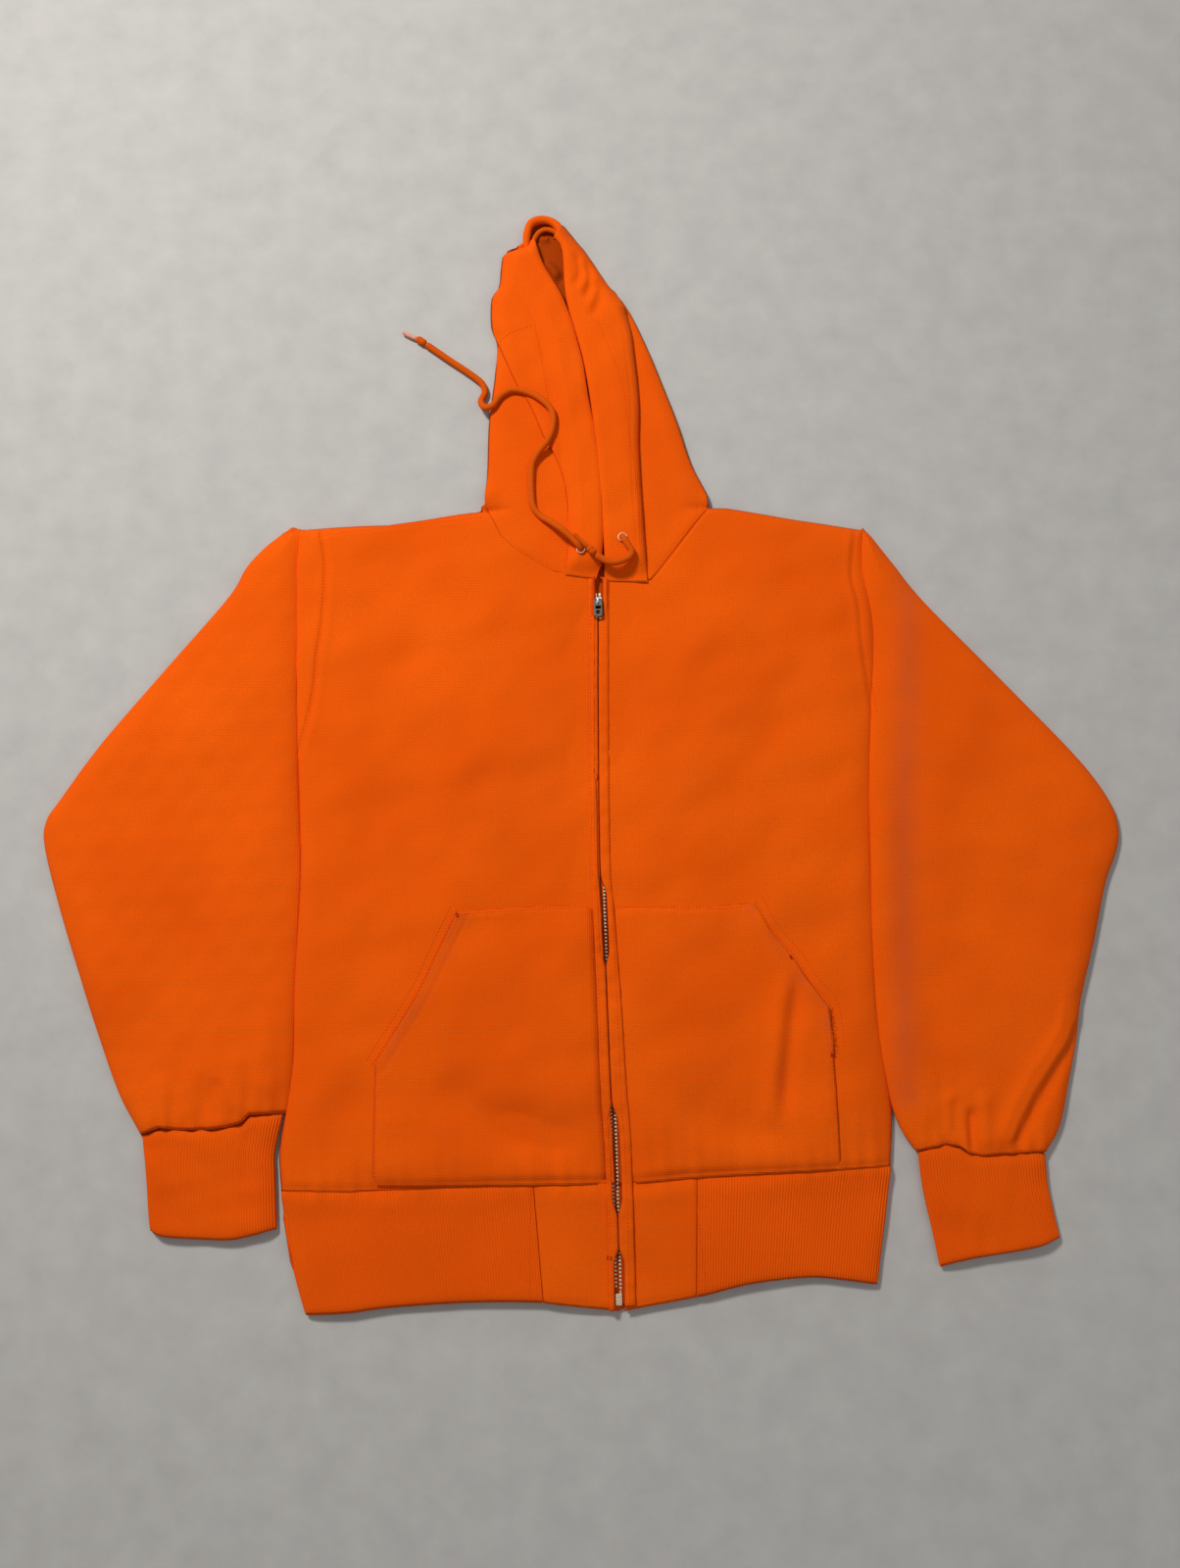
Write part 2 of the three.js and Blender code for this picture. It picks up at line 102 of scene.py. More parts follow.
# ---- materials -----------------------------------------------------------------------
def material(name, colour, roughness, metallic=0.0, sheen=0.0):
    """New material, its node tree and its shader."""
    m = bpy.data.materials.new(name)
    m.use_nodes = True
    s = m.node_tree.nodes["Principled BSDF"]
    s.inputs["Base Color"].default_value = (*colour, 1)
    s.inputs["Roughness"].default_value = roughness
    s.inputs["Metallic"].default_value = metallic
    s.inputs["Sheen Weight"].default_value = sheen
    s.inputs["Sheen Roughness"].default_value = 0.5
    s.inputs["Sheen Tint"].default_value = (1.0, 0.55, 0.3, 1)
    s.inputs["Specular IOR Level"].default_value = 0.08
    return m, m.node_tree, s


def node(tree, kind, **inputs):
    """New node whose inputs are linked to the sockets or set to the values given."""
    n = tree.nodes.new(kind)
    for key, value in inputs.items():
        key = key.replace("_", " ")
        if hasattr(value, "is_output"):
            tree.links.new(value, n.inputs[key])
        else:
            n.inputs[key].default_value = value
    return n


def mix(tree, factor, a, b):
    """Colour between a and b by a factor socket."""
    n = tree.nodes.new("ShaderNodeMix")
    n.data_type = "RGBA"
    tree.links.new(factor, n.inputs["Factor"])
    for socket, value in (("A", a), ("B", b)):
        target = [i for i in n.inputs if i.name == socket and i.type == "RGBA"][0]
        if hasattr(value, "is_output"):
            tree.links.new(value, target)
        else:
            target.default_value = (*value, 1)
    return [o for o in n.outputs if o.type == "RGBA"][0]


def ramp(tree, socket, low, high, to_low=0.0, to_high=1.0):
    """The socket's range low to high brought to the range asked for, and clamped."""
    n = tree.nodes.new("ShaderNodeMapRange")
    n.inputs["From Min"].default_value = low
    n.inputs["From Max"].default_value = high
    n.inputs["To Min"].default_value = to_low
    n.inputs["To Max"].default_value = to_high
    tree.links.new(socket, n.inputs["Value"])
    return n.outputs["Result"]


def noise(tree, coords, scale, detail=2.0, rough=0.5):
    n = node(tree, "ShaderNodeTexNoise", Vector=coords, Scale=scale, Detail=detail, Roughness=rough)
    return n.outputs["Fac"]


def shade(colour, tone):
    return tuple(c * tone for c in colour)


def added(tree, a, b):
    n = tree.nodes.new("ShaderNodeMath")
    n.operation = "ADD"
    tree.links.new(a, n.inputs[0])
    tree.links.new(b, n.inputs[1])
    return n.outputs[0]


def bands(tree, coords, direction, scale, distortion):
    n = node(tree, "ShaderNodeTexWave", Vector=coords, Scale=scale, Distortion=distortion, Detail=1.0)
    n.bands_direction = direction
    return n.outputs["Fac"]


def relief(tree, shader, height, strength, depth):
    bump = node(tree, "ShaderNodeBump", Strength=strength, Distance=depth, Height=height)
    tree.links.new(bump.outputs["Normal"], shader.inputs["Normal"])


ORANGE = (0.89, 0.110, 0.0012)
DEEP = (0.84, 0.096, 0.0008)
BRIGHT = (0.93, 0.120, 0.0016)
# stain colour, also mixed in as painted shade along the pocket openings
STAIN_AND_SHADE = (0.40, 0.075, 0.03)


def fleece_material(name, tone=1.0):
    m, t, s = material(name, shade(ORANGE, tone), 0.95, sheen=0.03)
    pos = node(t, "ShaderNodeTexCoord").outputs["Object"]
    broad = ramp(t, noise(t, pos, 7, 3), 0.35, 0.68)
    fine = ramp(t, noise(t, pos, 420, 3, 0.6), 0.25, 0.75, 0.55, 1.0)
    base = mix(t, broad, shade(DEEP, tone), shade(BRIGHT, tone))
    base = mix(t, fine, shade(DEEP, tone * 0.86), base)
    # per-vertex share of the stain colour: the real stain on the sleeve, and painted shade along the pocket
    # openings
    worn = node(t, "ShaderNodeAttribute")
    worn.attribute_name = "worn"
    t.links.new(mix(t, worn.outputs["Fac"], base, STAIN_AND_SHADE), s.inputs["Base Color"])
    # knit face: fine columns crossed by courses, with brushed fuzz
    knit = added(t, bands(t, pos, "X", 175.0, 1.2), bands(t, pos, "Y", 210.0, 1.6))
    relief(t, s, added(t, knit, noise(t, pos, 900, 3, 0.7)), 0.35, 0.00035)
    return m


def rib_material(name, colour=ORANGE):
    m, t, s = material(name, colour, 0.95, sheen=0.03)
    pos = node(t, "ShaderNodeTexCoord").outputs["Object"]
    fine = ramp(t, noise(t, pos, 420, 3, 0.6), 0.25, 0.75, 0.5, 1.0)
    broad = ramp(t, noise(t, pos, 12, 2), 0.35, 0.68)
    base = mix(t, broad, shade(colour, 0.93), colour)
    t.links.new(mix(t, fine, shade(colour, 0.8), base), s.inputs["Base Color"])
    relief(t, s, bands(t, pos, "Y", 240.0, 2.0), 0.3, 0.0003)
    return m


def metal_material(name, colour, dark, roughness, metallic):
    """Bright metal with darker rubbed places; the cord's sealed plastic tip uses it too."""
    m, t, s = material(name, colour, roughness, metallic)
    s.inputs["Specular IOR Level"].default_value = 0.5
    pos = node(t, "ShaderNodeTexCoord").outputs["Object"]
    wear = ramp(t, noise(t, pos, 900, 4, 0.6), 0.35, 0.7)
    t.links.new(mix(t, wear, dark, colour), s.inputs["Base Color"])
    rough = ramp(t, noise(t, pos, 500, 3), 0.3, 0.7, roughness - 0.1, roughness + 0.15)
    t.links.new(rough, s.inputs["Roughness"])
    return m


BODY = fleece_material("fleece_body_mat")
SLEEVE = fleece_material("fleece_sleeve_mat")
HOOD = fleece_material("fleece_hood_mat")
# painted shade: the hood's inside is the same fleece, darkened to 0.46 to stand for the shade in its hollow
HOOD_INSIDE_PAINTED_SHADE = fleece_material("fleece_inside_painted_shade_mat", 0.46)
RIB = rib_material("rib_mat")
CORD = rib_material("cord_mat", (0.70, 0.098, 0.002))
THREAD = rib_material("thread_mat", (0.85, 0.095, 0.002))
TIP = metal_material("tip_mat", (0.78, 0.34, 0.24), (0.62, 0.22, 0.13), 0.45, 0.0)
BRASS = metal_material("brass_mat", (0.95, 0.82, 0.62), (0.70, 0.55, 0.36), 0.42, 0.7)
NICKEL = metal_material("nickel_mat", (0.93, 0.92, 0.9), (0.68, 0.66, 0.63), 0.38, 0.7)
GUN = metal_material("gunmetal_mat", (0.20, 0.18, 0.165), (0.09, 0.08, 0.07), 0.45, 1.0)
TAPE = rib_material("tape_mat", (0.55, 0.07, 0.002))


# ---- curves and surfaces in numpy ------------------------------------------------------
def spline(points, n):
    """n + 1 points evenly along a Catmull-Rom curve through the given ones."""
    p = np.asarray(points, float)
    if len(p) > 2:
        q = np.vstack([2 * p[0] - p[1], p, 2 * p[-1] - p[-2]])
        t = np.linspace(0, 1, 17)[:, None]
        runs = []
        for a, b, c, d in zip(q[:-3], q[1:-2], q[2:-1], q[3:]):
            line = 2 * b + (c - a) * t
            runs.append(0.5 * (line + (2 * a - 5 * b + 4 * c - d) * t**2 + (3 * b - a - 3 * c + d) * t**3))
        p = np.vstack([r[:-1] for r in runs] + [p[-1:]])
    return even(p, n)


def even(p, n):
    """n + 1 points evenly spaced along a polyline."""
    p = np.asarray(p, float)
    s = np.r_[0, np.cumsum(np.linalg.norm(np.diff(p, axis=0), axis=1))]
    at = np.linspace(0, s[-1], n + 1)
    return np.stack([np.interp(at, s, p[:, k]) for k in range(p.shape[1])], 1)


def joined(*parts):
    """Several curves end to end as one dense polyline."""
    return np.vstack([*(np.asarray(p, float)[:-1] for p in parts[:-1]), np.asarray(parts[-1], float)])


def distance(xy, line):
    """Distance of each point to a polyline, and how far along it, 0 to 1, the nearest place is."""
    shape = xy.shape[:-1]
    q = xy.reshape(-1, 2)
    a, b = np.asarray(line[:-1], float), np.asarray(line[1:], float)
    d = b - a
    seg = np.maximum(np.linalg.norm(d, axis=1), 1e-9)
    start = np.r_[0, np.cumsum(seg)]
    best = np.full(len(q), 1e9)
    along = np.zeros(len(q))
    for i in range(len(a)):
        t = np.clip(((q - a[i]) @ d[i]) / seg[i] ** 2, 0, 1)
        r = np.linalg.norm(q - a[i] - t[:, None] * d[i], axis=1)
        near = r < best
        best[near] = r[near]
        along[near] = (start[i] + t[near] * seg[i]) / start[-1]
    return best.reshape(shape), along.reshape(shape)


def gap(xy, line):
    """Distance of each point to a polyline."""
    return distance(xy, line)[0]


def nearest(xy, lines):
    """Distance of each point to the nearest of several polylines."""
    return np.min([gap(xy, line) for line in lines], axis=0)


def length_of(line):
    return np.linalg.norm(np.diff(line, axis=0), axis=1).sum()


def bell(d, width):
    """1 where d is nought, falling away within about the width."""
    return np.exp(-((d / width) ** 2))


def step(x, lo, hi):
    """Smooth rise from 0 at lo to 1 at hi."""
    t = np.clip((x - lo) / (hi - lo), 0, 1)
    return t * t * (3 - 2 * t)


def roll(d, r):
    """Rounded edge: 0 at the edge, 1 from r inward."""
    t = np.clip(d / r, 0, 1)
    return np.sqrt(np.maximum(0, 1 - (1 - t) ** 2))


def waves(xy, wavelength, seed, count=7):
    """Smooth seeded undulation between about -1 and 1."""
    rng = np.random.default_rng(seed)
    out = np.zeros(xy.shape[:-1])
    for _ in range(count):
        a = rng.uniform(0, 2 * math.pi)
        k = 2 * math.pi / (wavelength * rng.uniform(0.7, 1.5))
        out += np.sin(k * (xy[..., 0] * math.cos(a) + xy[..., 1] * math.sin(a)) + rng.uniform(0, 6.28))
    return out / math.sqrt(count)


def ridge(xy, points, height, width, fade=0.25):
    """A soft fold along a curve; negative heights are creases."""
    d, s = distance(xy, spline(points, 24))
    ends = step(s, 0, fade) * step(1 - s, 0, fade) if fade else 1
    return height * ends * bell(d, width)


def folds(xy, table):
    return sum((ridge(xy, *f) for f in table), np.zeros(xy.shape[:-1]))


def meet(a, b, c, d):
    """Moves the ends of lines a and b onto the starts and the ends of lines c and d."""
    a[0], a[-1], b[0], b[-1] = c[0], d[0], c[-1], d[-1]


def coons(top, bottom, left, right):
    """Grid [i across, j down] filling four boundary curves."""
    nu, nv = len(top) - 1, len(left) - 1
    u = np.linspace(0, 1, nu + 1)[:, None, None]
    v = np.linspace(0, 1, nv + 1)[None, :, None]
    t, b = top[:, None, :], bottom[:, None, :]
    le, r = left[None, :, :], right[None, :, :]
    corners = (1 - u) * (1 - v) * top[0] + u * (1 - v) * top[-1]
    corners = corners + (1 - u) * v * bottom[0] + u * v * bottom[-1]
    return (1 - v) * t + v * b + (1 - u) * le + u * r - corners


def mesh_object(name, verts, faces, mat, smooth=True):
    mesh = bpy.data.meshes.new(name)
    mesh.from_pydata(put(verts).tolist(), [], faces)
    mesh.validate()
    if smooth:
        mesh.shade_smooth()
    mesh.materials.append(mat)
    obj = bpy.data.objects.new(name, mesh)
    bpy.context.scene.collection.objects.link(obj)
    return obj


def grid_normals(p, wrap=False):
    if wrap:
        du = np.roll(p, -1, 0) - np.roll(p, 1, 0)
    else:
        du = np.gradient(p, axis=0)
    dv = np.gradient(p, axis=1)
    n = np.cross(du, dv)
    return n / np.maximum(np.linalg.norm(n, axis=-1, keepdims=True), 1e-9)


def shell(name, p, thick, mat, wrap=False, flip=False, smooth=None):
    """Closed cloth of the given thickness whose outer face is the grid p[i, j].

    smooth is the same grid without its fine relief, when it has any."""
    plain = p if smooth is None else smooth
    n = grid_normals(plain, wrap) * (-1 if flip else 1)
    inner = plain - n * thick
    nu, nv = p.shape[:2]
    verts = [p.reshape(-1, 3), inner.reshape(-1, 3)]
    size = nu * nv
    i = np.arange(nu if wrap else nu - 1)
    j = np.arange(nv - 1)
    ii, jj = np.meshgrid(i, j, indexing="ij")
    nxt = (ii + 1) % nu
    a, b, c, d = ii * nv + jj, nxt * nv + jj, nxt * nv + jj + 1, ii * nv + jj + 1
    quad = np.stack([a, b, c, d], -1).reshape(-1, 4)
    if flip:
        quad = quad[:, ::-1]
    faces = [quad, quad[:, ::-1] + size]
    # rounded rim along each open edge
    if wrap:
        loops = [np.arange(nu) * nv, np.arange(nu)[::-1] * nv + nv - 1]
    else:
        near, far = np.arange(nu) * nv, (nu - 1) * nv + np.arange(1, nv)
        loops = [np.r_[near, far, np.arange(nu - 2, -1, -1) * nv + nv - 1, np.arange(nv - 2, 0, -1)]]
    base = 2 * size
    flat, low = verts[0], verts[1]
    for loop in loops:
        mid = (flat[loop] + low[loop]) / 2
        ahead = np.roll(mid, -1, 0) - np.roll(mid, 1, 0)
        out = np.cross(ahead, n.reshape(-1, 3)[loop]) * (1 if not flip else -1)
        out /= np.maximum(np.linalg.norm(out, axis=1, keepdims=True), 1e-9)
        verts.append(mid - out * thick * 0.5)
        k = np.arange(len(loop))
        kn = (k + 1) % len(loop)
        m, mn = base + k, base + kn
        one = np.stack([loop[kn], loop[k], m, mn], 1)
        two = np.stack([mn, m, loop[k] + size, loop[kn] + size], 1)
        if flip:
            one, two = one[:, ::-1], two[:, ::-1]
        faces += [one, two]
        base += len(loop)
    return mesh_object(name, np.vstack(verts), np.vstack(faces).tolist(), mat)


def placed(obj, body, slot, *nodes):
    """Hangs a piece on the body it rides on and hides the CAD nodes that it replaces; slot is not used."""
    if body:
        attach(obj, body)
    if nodes:
        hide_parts(*nodes)
    return obj


def both(maker, name, slot, node_name):
    """The wearer's right and left piece of a pair on the torso; maker takes a name and a side, -1 or 1."""
    sides = (("right", -1), ("left", 1))
    return [placed(maker(name.format(w), side), "torso", slot, node_name.format(w)) for w, side in sides]


# ---- the lie of the garment ------------------------------------------------------------
LEFT_EDGE = [(-268, 188), (-270, 150), (-268, 100), (-265, 16), (-261, -40), (-257, -100), (-255, -143),
             (-257, -232), (-256, -301), (-260, -346), (-264, -380), (-261, -412)]
RIGHT_EDGE = [(266, 188), (266, 150), (271, 112), (273, 80), (270, 40), (267, 0), (264, -54), (262, -150),
              (262, -232), (265, -284), (270, -324), (272, -352), (269, -391)]
SHOULDER_R = [(-268, 188), (-184, 193)]
SHOULDER_L = [(119, 210), (142, 209), (204, 198), (266, 188)]
BAND_SEAM = [(-261, -412), (-204, -413), (-134, -410), (-45, -406), (28, -406), (45, -406), (95, -400),
             (183, -397), (269, -391)]
BAND_EDGE = [(-236, -516), (-200, -514), (-167, -510), (-110, -506), (-49, -505), (0, -508), (30, -513),
             (37, -511), (70, -505), (104, -500), (146, -490), (195, -485), (225, -487), (254, -491)]
SLIT = [(14.8, 141), (15, 80), (14.9, 36), (15.1, -10), (15.3, -55), (15.8, -100), (16.5, -136),
        (18.6, -163), (21.7, -232), (25.1, -318), (26.6, -343), (28.6, -368), (30.2, -401), (31.2, -433),
        (32.2, -470), (32.7, -513)]
NECK_RIGHT = [(-92, 213), (-84, 196), (-76, 180), (-62, 167), (-49, 159), (-25, 145), (15, 141)]
NECK_LEFT = [(15, 141), (61, 138), (68, 142), (94, 176), (119, 209)]
SEAM_AT_ZIP = -406  # y where the fronts meet the waistband, at the zip
slit_line = spline(SLIT, 120)
EDGES = [spline(LEFT_EDGE, 80), spline(RIGHT_EDGE, 80), spline(SHOULDER_R + [(-95, 206)] + SHOULDER_L, 60)]


def slit_x(y):
    return np.interp(y, slit_line[::-1, 1], slit_line[::-1, 0])


def slit_half(y):
    """Half the gap between the two front edges: open over the slider, at two places and at the hem."""
    g = 0.08 + 4.27 * step(y, 98, 104)
    g = g + 3.6 * step(-y, 138, 158) * step(y, -222, -205)
    g = g + 3.8 * step(-y, 338, 356) * step(y, -436, -418)
    return g + 4.1 * step(-y, 460, 473)


TORSO_FOLDS = [
    # wearer's right side
    ([(-240, 160), (-210, 60), (-215, -40), (-235, -120)], 1.6, 22),
    ([(-150, 170), (-120, 60), (-140, -60)], 1.2, 34),
    ([(-60, 130), (-70, 20), (-50, -90)], 1.0, 30),
    ([(-235, -200), (-222, -290), (-235, -380)], 1.8, 18),
    ([(-135, -330), (-97, -345), (-40, -366), (8, -372)], -6.5, 19),
    ([(-150, -300), (-90, -312), (-20, -330)], 1.6, 22),
    ([(-200, -395), (-100, -388), (0, -392)], 2.0, 14),
    ([(-200, -330), (-150, -360), (-70, -330)], 1.6, 22),
    # wearer's left side
    ([(60, 120), (75, 20), (60, -90)], 1.0, 30),
    ([(230, 150), (225, 60), (240, -40)], 1.6, 20),
    ([(130, 150), (150, 60), (140, -60)], 1.2, 30),
    ([(150, -60), (175, -150), (160, -260)], 1.4, 24),
    ([(186, -212), (172, -290), (163, -365)], 3.6, 10),
    ([(194, -214), (183, -290), (177, -362)], -4.4, 8),
    ([(100, -345), (170, -368), (230, -352)], -1.8, 16),
    ([(225, -250), (240, -320), (238, -380)], 1.8, 14),
    ([(60, -330), (110, -376), (200, -382)], 1.6, 12),
]


ARMHOLE_R = [(-245, 186), (-239, 153), (-240, 102), (-244, 64), (-246, 37), (-251, 5), (-259, -28)]
ARMHOLE_L = [(257, 186), (253, 143), (258, 116), (260, 80), (264, 44), (268, 12)]
SHOULDER_SEAM = [(-96, 202), (-150, 197), (-200, 190), (-244, 183)]


def seam_dip(xy, line):
    """A seam: a narrow sewn groove between two softly raised edges."""
    d = gap(xy, spline(line, 40))
    return 0.7 * bell(d - 5, 3.5) - 1.6 * bell(d, 2.2)


def front_height(xy):
    """Height of the front's outer face above the floor."""
    edge = nearest(xy, EDGES)
    x, y = xy[..., 0], xy[..., 1]
    lie = 11.2 + 1.7 * waves(xy, 210, 3) + 1.0 * waves(xy, 85, 5) + 0.28 * waves(xy, 34, 9)
    lie = lie + folds(xy, TORSO_FOLDS)
    to_band = gap(xy, spline(BAND_SEAM, 60))
    gather = np.exp(-to_band / 26) * (0.9 * waves(xy * [1, 0.12], 17, 11) - 0.3)
    z = lie + gather - 2.0 * bell(to_band, 4)
    near = np.abs(x - slit_x(y))
    shown = step(-y, 130, 155) * step(y, -232, -205) + step(-y, 335, 352) + step(y, 84, 96)
    z = z - (2.3 + 1.3 * shown) * bell(near, 28)
    least = 5.6 + 3.0 * np.exp(-((near / 40) ** 4))
    z = np.maximum(z, least + 0.2 * (z - least))
    z = z + seam_dip(xy, ARMHOLE_R) + seam_dip(xy, ARMHOLE_L) + seam_dip(xy, SHOULDER_SEAM)
    return MID + (z - MID) * roll(edge, 20)


def tucked(grid, depth, power):
    """The grid with its lowest rows drawn down, under the piece sewn on there."""
    grid[..., 1] -= depth * np.linspace(0, 1, grid.shape[1])[None, :] ** power
    return grid


def body_side(name, side):
    """One front panel, from its side fold to the zip."""
    inner = even((slit_line + [side * 4.5, 0])[slit_line[:, 1] > SEAM_AT_ZIP - 1], 260)
    if side < 0:
        top = even(joined(even(SHOULDER_R + [(-92, 207)], 40), even(NECK_RIGHT, 60)), 124)
        bottom = even(even(BAND_SEAM[:4] + [(31, SEAM_AT_ZIP)], 40), 124)
        top[-1], bottom[-1] = inner[0], inner[-1]
        left, right = spline(LEFT_EDGE, 260), inner
    else:
        top = even(joined(even(NECK_LEFT, 60), even(SHOULDER_L, 40)), 118)
        bottom = even([(31, SEAM_AT_ZIP)] + BAND_SEAM[5:], 118)
        left, right = inner, spline(RIGHT_EDGE, 260)
    meet(left, right, top, bottom)
    grid = tucked(coons(top, bottom, left, right), 1.6, 20)
    return shell(name, np.dstack([grid, front_height(grid)]), FLEECE, BODY, flip=True)


right_front, left_front = both(body_side, "{}_front_cloth", "fleece_body", "{}_front_panel")


def back_panel():
    """The back lies on the floor and turns up into the side folds."""
    right_shoulder = spline(SHOULDER_R + [(-95, 206)], 20)
    neck = [(-95, 206), (-92, 212), (118, 212), (119, 210)]
    top = even(joined(right_shoulder, neck, even(SHOULDER_L, 20)), 150)
    bottom = even(BAND_SEAM, 150)
    left, right = spline(LEFT_EDGE, 120), spline(RIGHT_EDGE, 120)
    meet(left, right, top, bottom)
    grid = coons(top, bottom, left, right)
    z = MID - (MID - 0.25) * roll(nearest(grid, EDGES), 20)
    return shell("back_cloth", np.dstack([grid, z]), FLEECE, BODY)


back = placed(back_panel(), "torso", "fleece_body", "back_panel")


# ---- waistband ------------------------------------------------------------------------
def band_point(u, v):
    """Place on the band's outline: u across from the wearer's right, v from the seam to the lower edge."""
    a = even(BAND_SEAM, 400)
    b = even(spline(BAND_EDGE, 400), 400)
    i = u * 400
    k = np.clip(i.astype(int), 0, 399)
    f = (i - k)[..., None]
    top = a[k] * (1 - f) + a[k + 1] * f
    low = b[k] * (1 - f) + b[k + 1] * f
    bow = 3.0 * np.sin(math.pi * v) * np.where(u < 0.5, 1, 0.5) * np.exp(-u * 30)
    out = top * (1 - v[..., None]) + low * v[..., None]
    out[..., 0] -= bow
    return out


BAND_SIDES = [spline([(-263, -413), (-255, -440), (-247, -478), (-236, -516)], 20),
              spline([(270, -391), (265, -430), (258, -465), (254, -491)], 20)]


def band_height(xy):
    d = nearest(xy, BAND_SIDES)
    x, y = xy[..., 0], xy[..., 1]
    lie = 10.4 + 0.9 * waves(xy, 150, 21) + 0.4 * waves(xy, 60, 22)
    seam = gap(xy, even(BAND_SEAM, 60))
    low = gap(xy, spline(BAND_EDGE, 60))
    lie = lie - 0.3 * bell(seam, 5) + 0.8 * bell(seam - 12, 9)
    lie = lie - 2.6 * (1 - roll(low, 9)) - 1.2 * bell(np.abs(x - slit_x(y)), 30)
    joint = bell(seam, 8)
    lie = MID + (lie - MID) * roll(d, 16)
    return lie * (1 - joint) + (front_height(xy) - 0.3) * joint


# the ribs stop at these shares of the band's width, where the plain insets begin
U_RIGHT_SEAM, U_LEFT_SEAM = 0.412, 0.682


def waistband():
    """One ribbed strip: from the right inset out to the side, round behind and back to the left inset."""
    rows = np.r_[-0.03, np.linspace(0, 1, 36)]
    across = 5  # points to a rib

    def count(length):
        return int(length / RIB_PITCH * across)

    front_r = np.linspace(U_RIGHT_SEAM, 0, count(215))
    behind = np.linspace(0, 1, count(525))[1:]
    front_l = np.linspace(1, U_LEFT_SEAM, count(168))[1:]
    u = np.r_[front_r, behind, front_l]
    face = np.r_[np.ones(len(front_r)), -np.ones(len(behind)), np.ones(len(front_l))]
    face[len(front_r) + len(behind) - 1] = 1
    uu, vv = np.meshgrid(u, rows, indexing="ij")
    xy = band_point(uu, vv)
    d = nearest(xy, BAND_SIDES)
    top = band_height(xy) - 1.4 * (vv < 0)
    under = MID - (MID - 0.45) * roll(d, 16)
    z = np.where(face[:, None] > 0, top, under)
    s = np.arange(len(u))[:, None] / across
    fade = step(vv, 0.0, 0.03)
    p = np.dstack([xy, z])
    n = grid_normals(p)
    n *= np.sign((n[..., 2:] + 1e-6) * face[:, None, None])
    ribbed = p + n * (0.5 * np.cos(2 * math.pi * s) * fade)[..., None]
    return shell("waistband_rib_cloth", ribbed, RIBBED, RIB, smooth=p)


band = placed(waistband(), "torso", "rib_knit", "waistband_rib")


def inset(name, side):
    """Plain piece of the band between the ribs and the zip."""
    seam_u = U_RIGHT_SEAM if side < 0 else U_LEFT_SEAM
    u = np.linspace(0, 1, 36)
    v = np.linspace(0, 1, 40)
    uu, vv = np.meshgrid(u, v, indexing="ij")
    start = band_point(np.full_like(vv, seam_u), vv)
    y = SEAM_AT_ZIP - 106 * vv
    stop = np.stack([slit_x(y) + side * 4.5, y], -1)
    xy = start * (1 - uu[..., None]) + stop * uu[..., None]
    z = band_height(xy) + 0.25 - 0.8 * bell(uu * 70, 3)
    return shell(name, np.dstack([xy, z]), FLEECE + 1.2, BODY, flip=side < 0)


right_inset, left_inset = both(inset, "{}_inset_cloth", "fleece_body", "{}_waistband_inset")


def lie_height(xy):
    """The front's or the band's height, whichever the place is on."""
    y = xy[..., 1]
    seam = np.interp(xy[..., 0], [p[0] for p in BAND_SEAM], [p[1] for p in BAND_SEAM])
    t = step(y - seam, -5, 5)
    return band_height(xy) * (1 - t) + front_height(xy) * t


# ---- pockets ----------------------------------------------------------------------------
RIGHT_POCKET = ([(-110, -172), (-60, -168), (4, -165)], [(-181, -409), (-120, -408), (18, -406)],
                [(-110, -172), (-126, -206), (-146, -249), (-181, -306), (-182, -330), (-181, -409)])
LEFT_POCKET = ([(30, -167), (115, -167), (154, -164)], [(44, -406), (95, -401), (225, -394)],
               [(154, -164), (168, -189), (188, -213), (200, -233), (218, -256), (221, -290), (225, -394)])


def pocket(name, side):
    """Kangaroo pocket half: sewn at its top and lower outer edge, standing a little open at the slant."""
    top, low, slant = RIGHT_POCKET if side < 0 else LEFT_POCKET
    n, m = 76, 96
    outer = even(slant, m)
    y = np.linspace(outer[0, 1] + (6 if side < 0 else -3), SEAM_AT_ZIP, m + 1)
    inner = np.stack([slit_x(y) + side * (5.5 if side < 0 else 7.5), y], 1)
    top, low = even(top, n), even(low, n)
    left, right = (outer, inner) if side < 0 else (inner, outer)
    meet(top, low, left, right)
    xy = tucked(coons(top, low, left, right), 1.8, 20)
    hand = [p for p in slant if p[1] > -310]
    d_hand = gap(xy, even(hand, 30))
    sewn = np.minimum(gap(xy, top), gap(xy, even([p for p in slant if p[1] < -285], 10)))
    beside_zip = gap(xy, inner)
    z = front_height(xy) + 2.2 + 0.9 * (1 - bell(sewn, 18))
    z += 0.7 * bell(d_hand, 7) - 0.35 * bell(d_hand - 2.4, 1.3)
    z -= 0.4 * bell(d_hand - 9, 1.4)
    z -= 1.7 * bell(sewn, 3.2) * (1 - 0.8 * bell(d_hand, 6))
    z -= 2.0 * bell(beside_zip, 13)
    z -= 2.1 * bell(gap(xy, np.asarray(low)), 5)
    z += 0.25 * np.exp(-sewn / 10) * waves(xy, 11, 31 + side)
    return shell(name, np.dstack([xy, z]), FLEECE, BODY, flip=True)


right_pocket, left_pocket = both(pocket, "{}_pocket_cloth", "fleece_pocket", "{}_pocket")


# ---- turned front edges beside the zip -----------------------------------------------------
LEFT_FACING_Y = [-512, -412, -350, -245, -208, -165, 139]
LEFT_FACING_WIDE = [13.5, 13.5, 14.5, 12.5, 11, 9.5, 10]


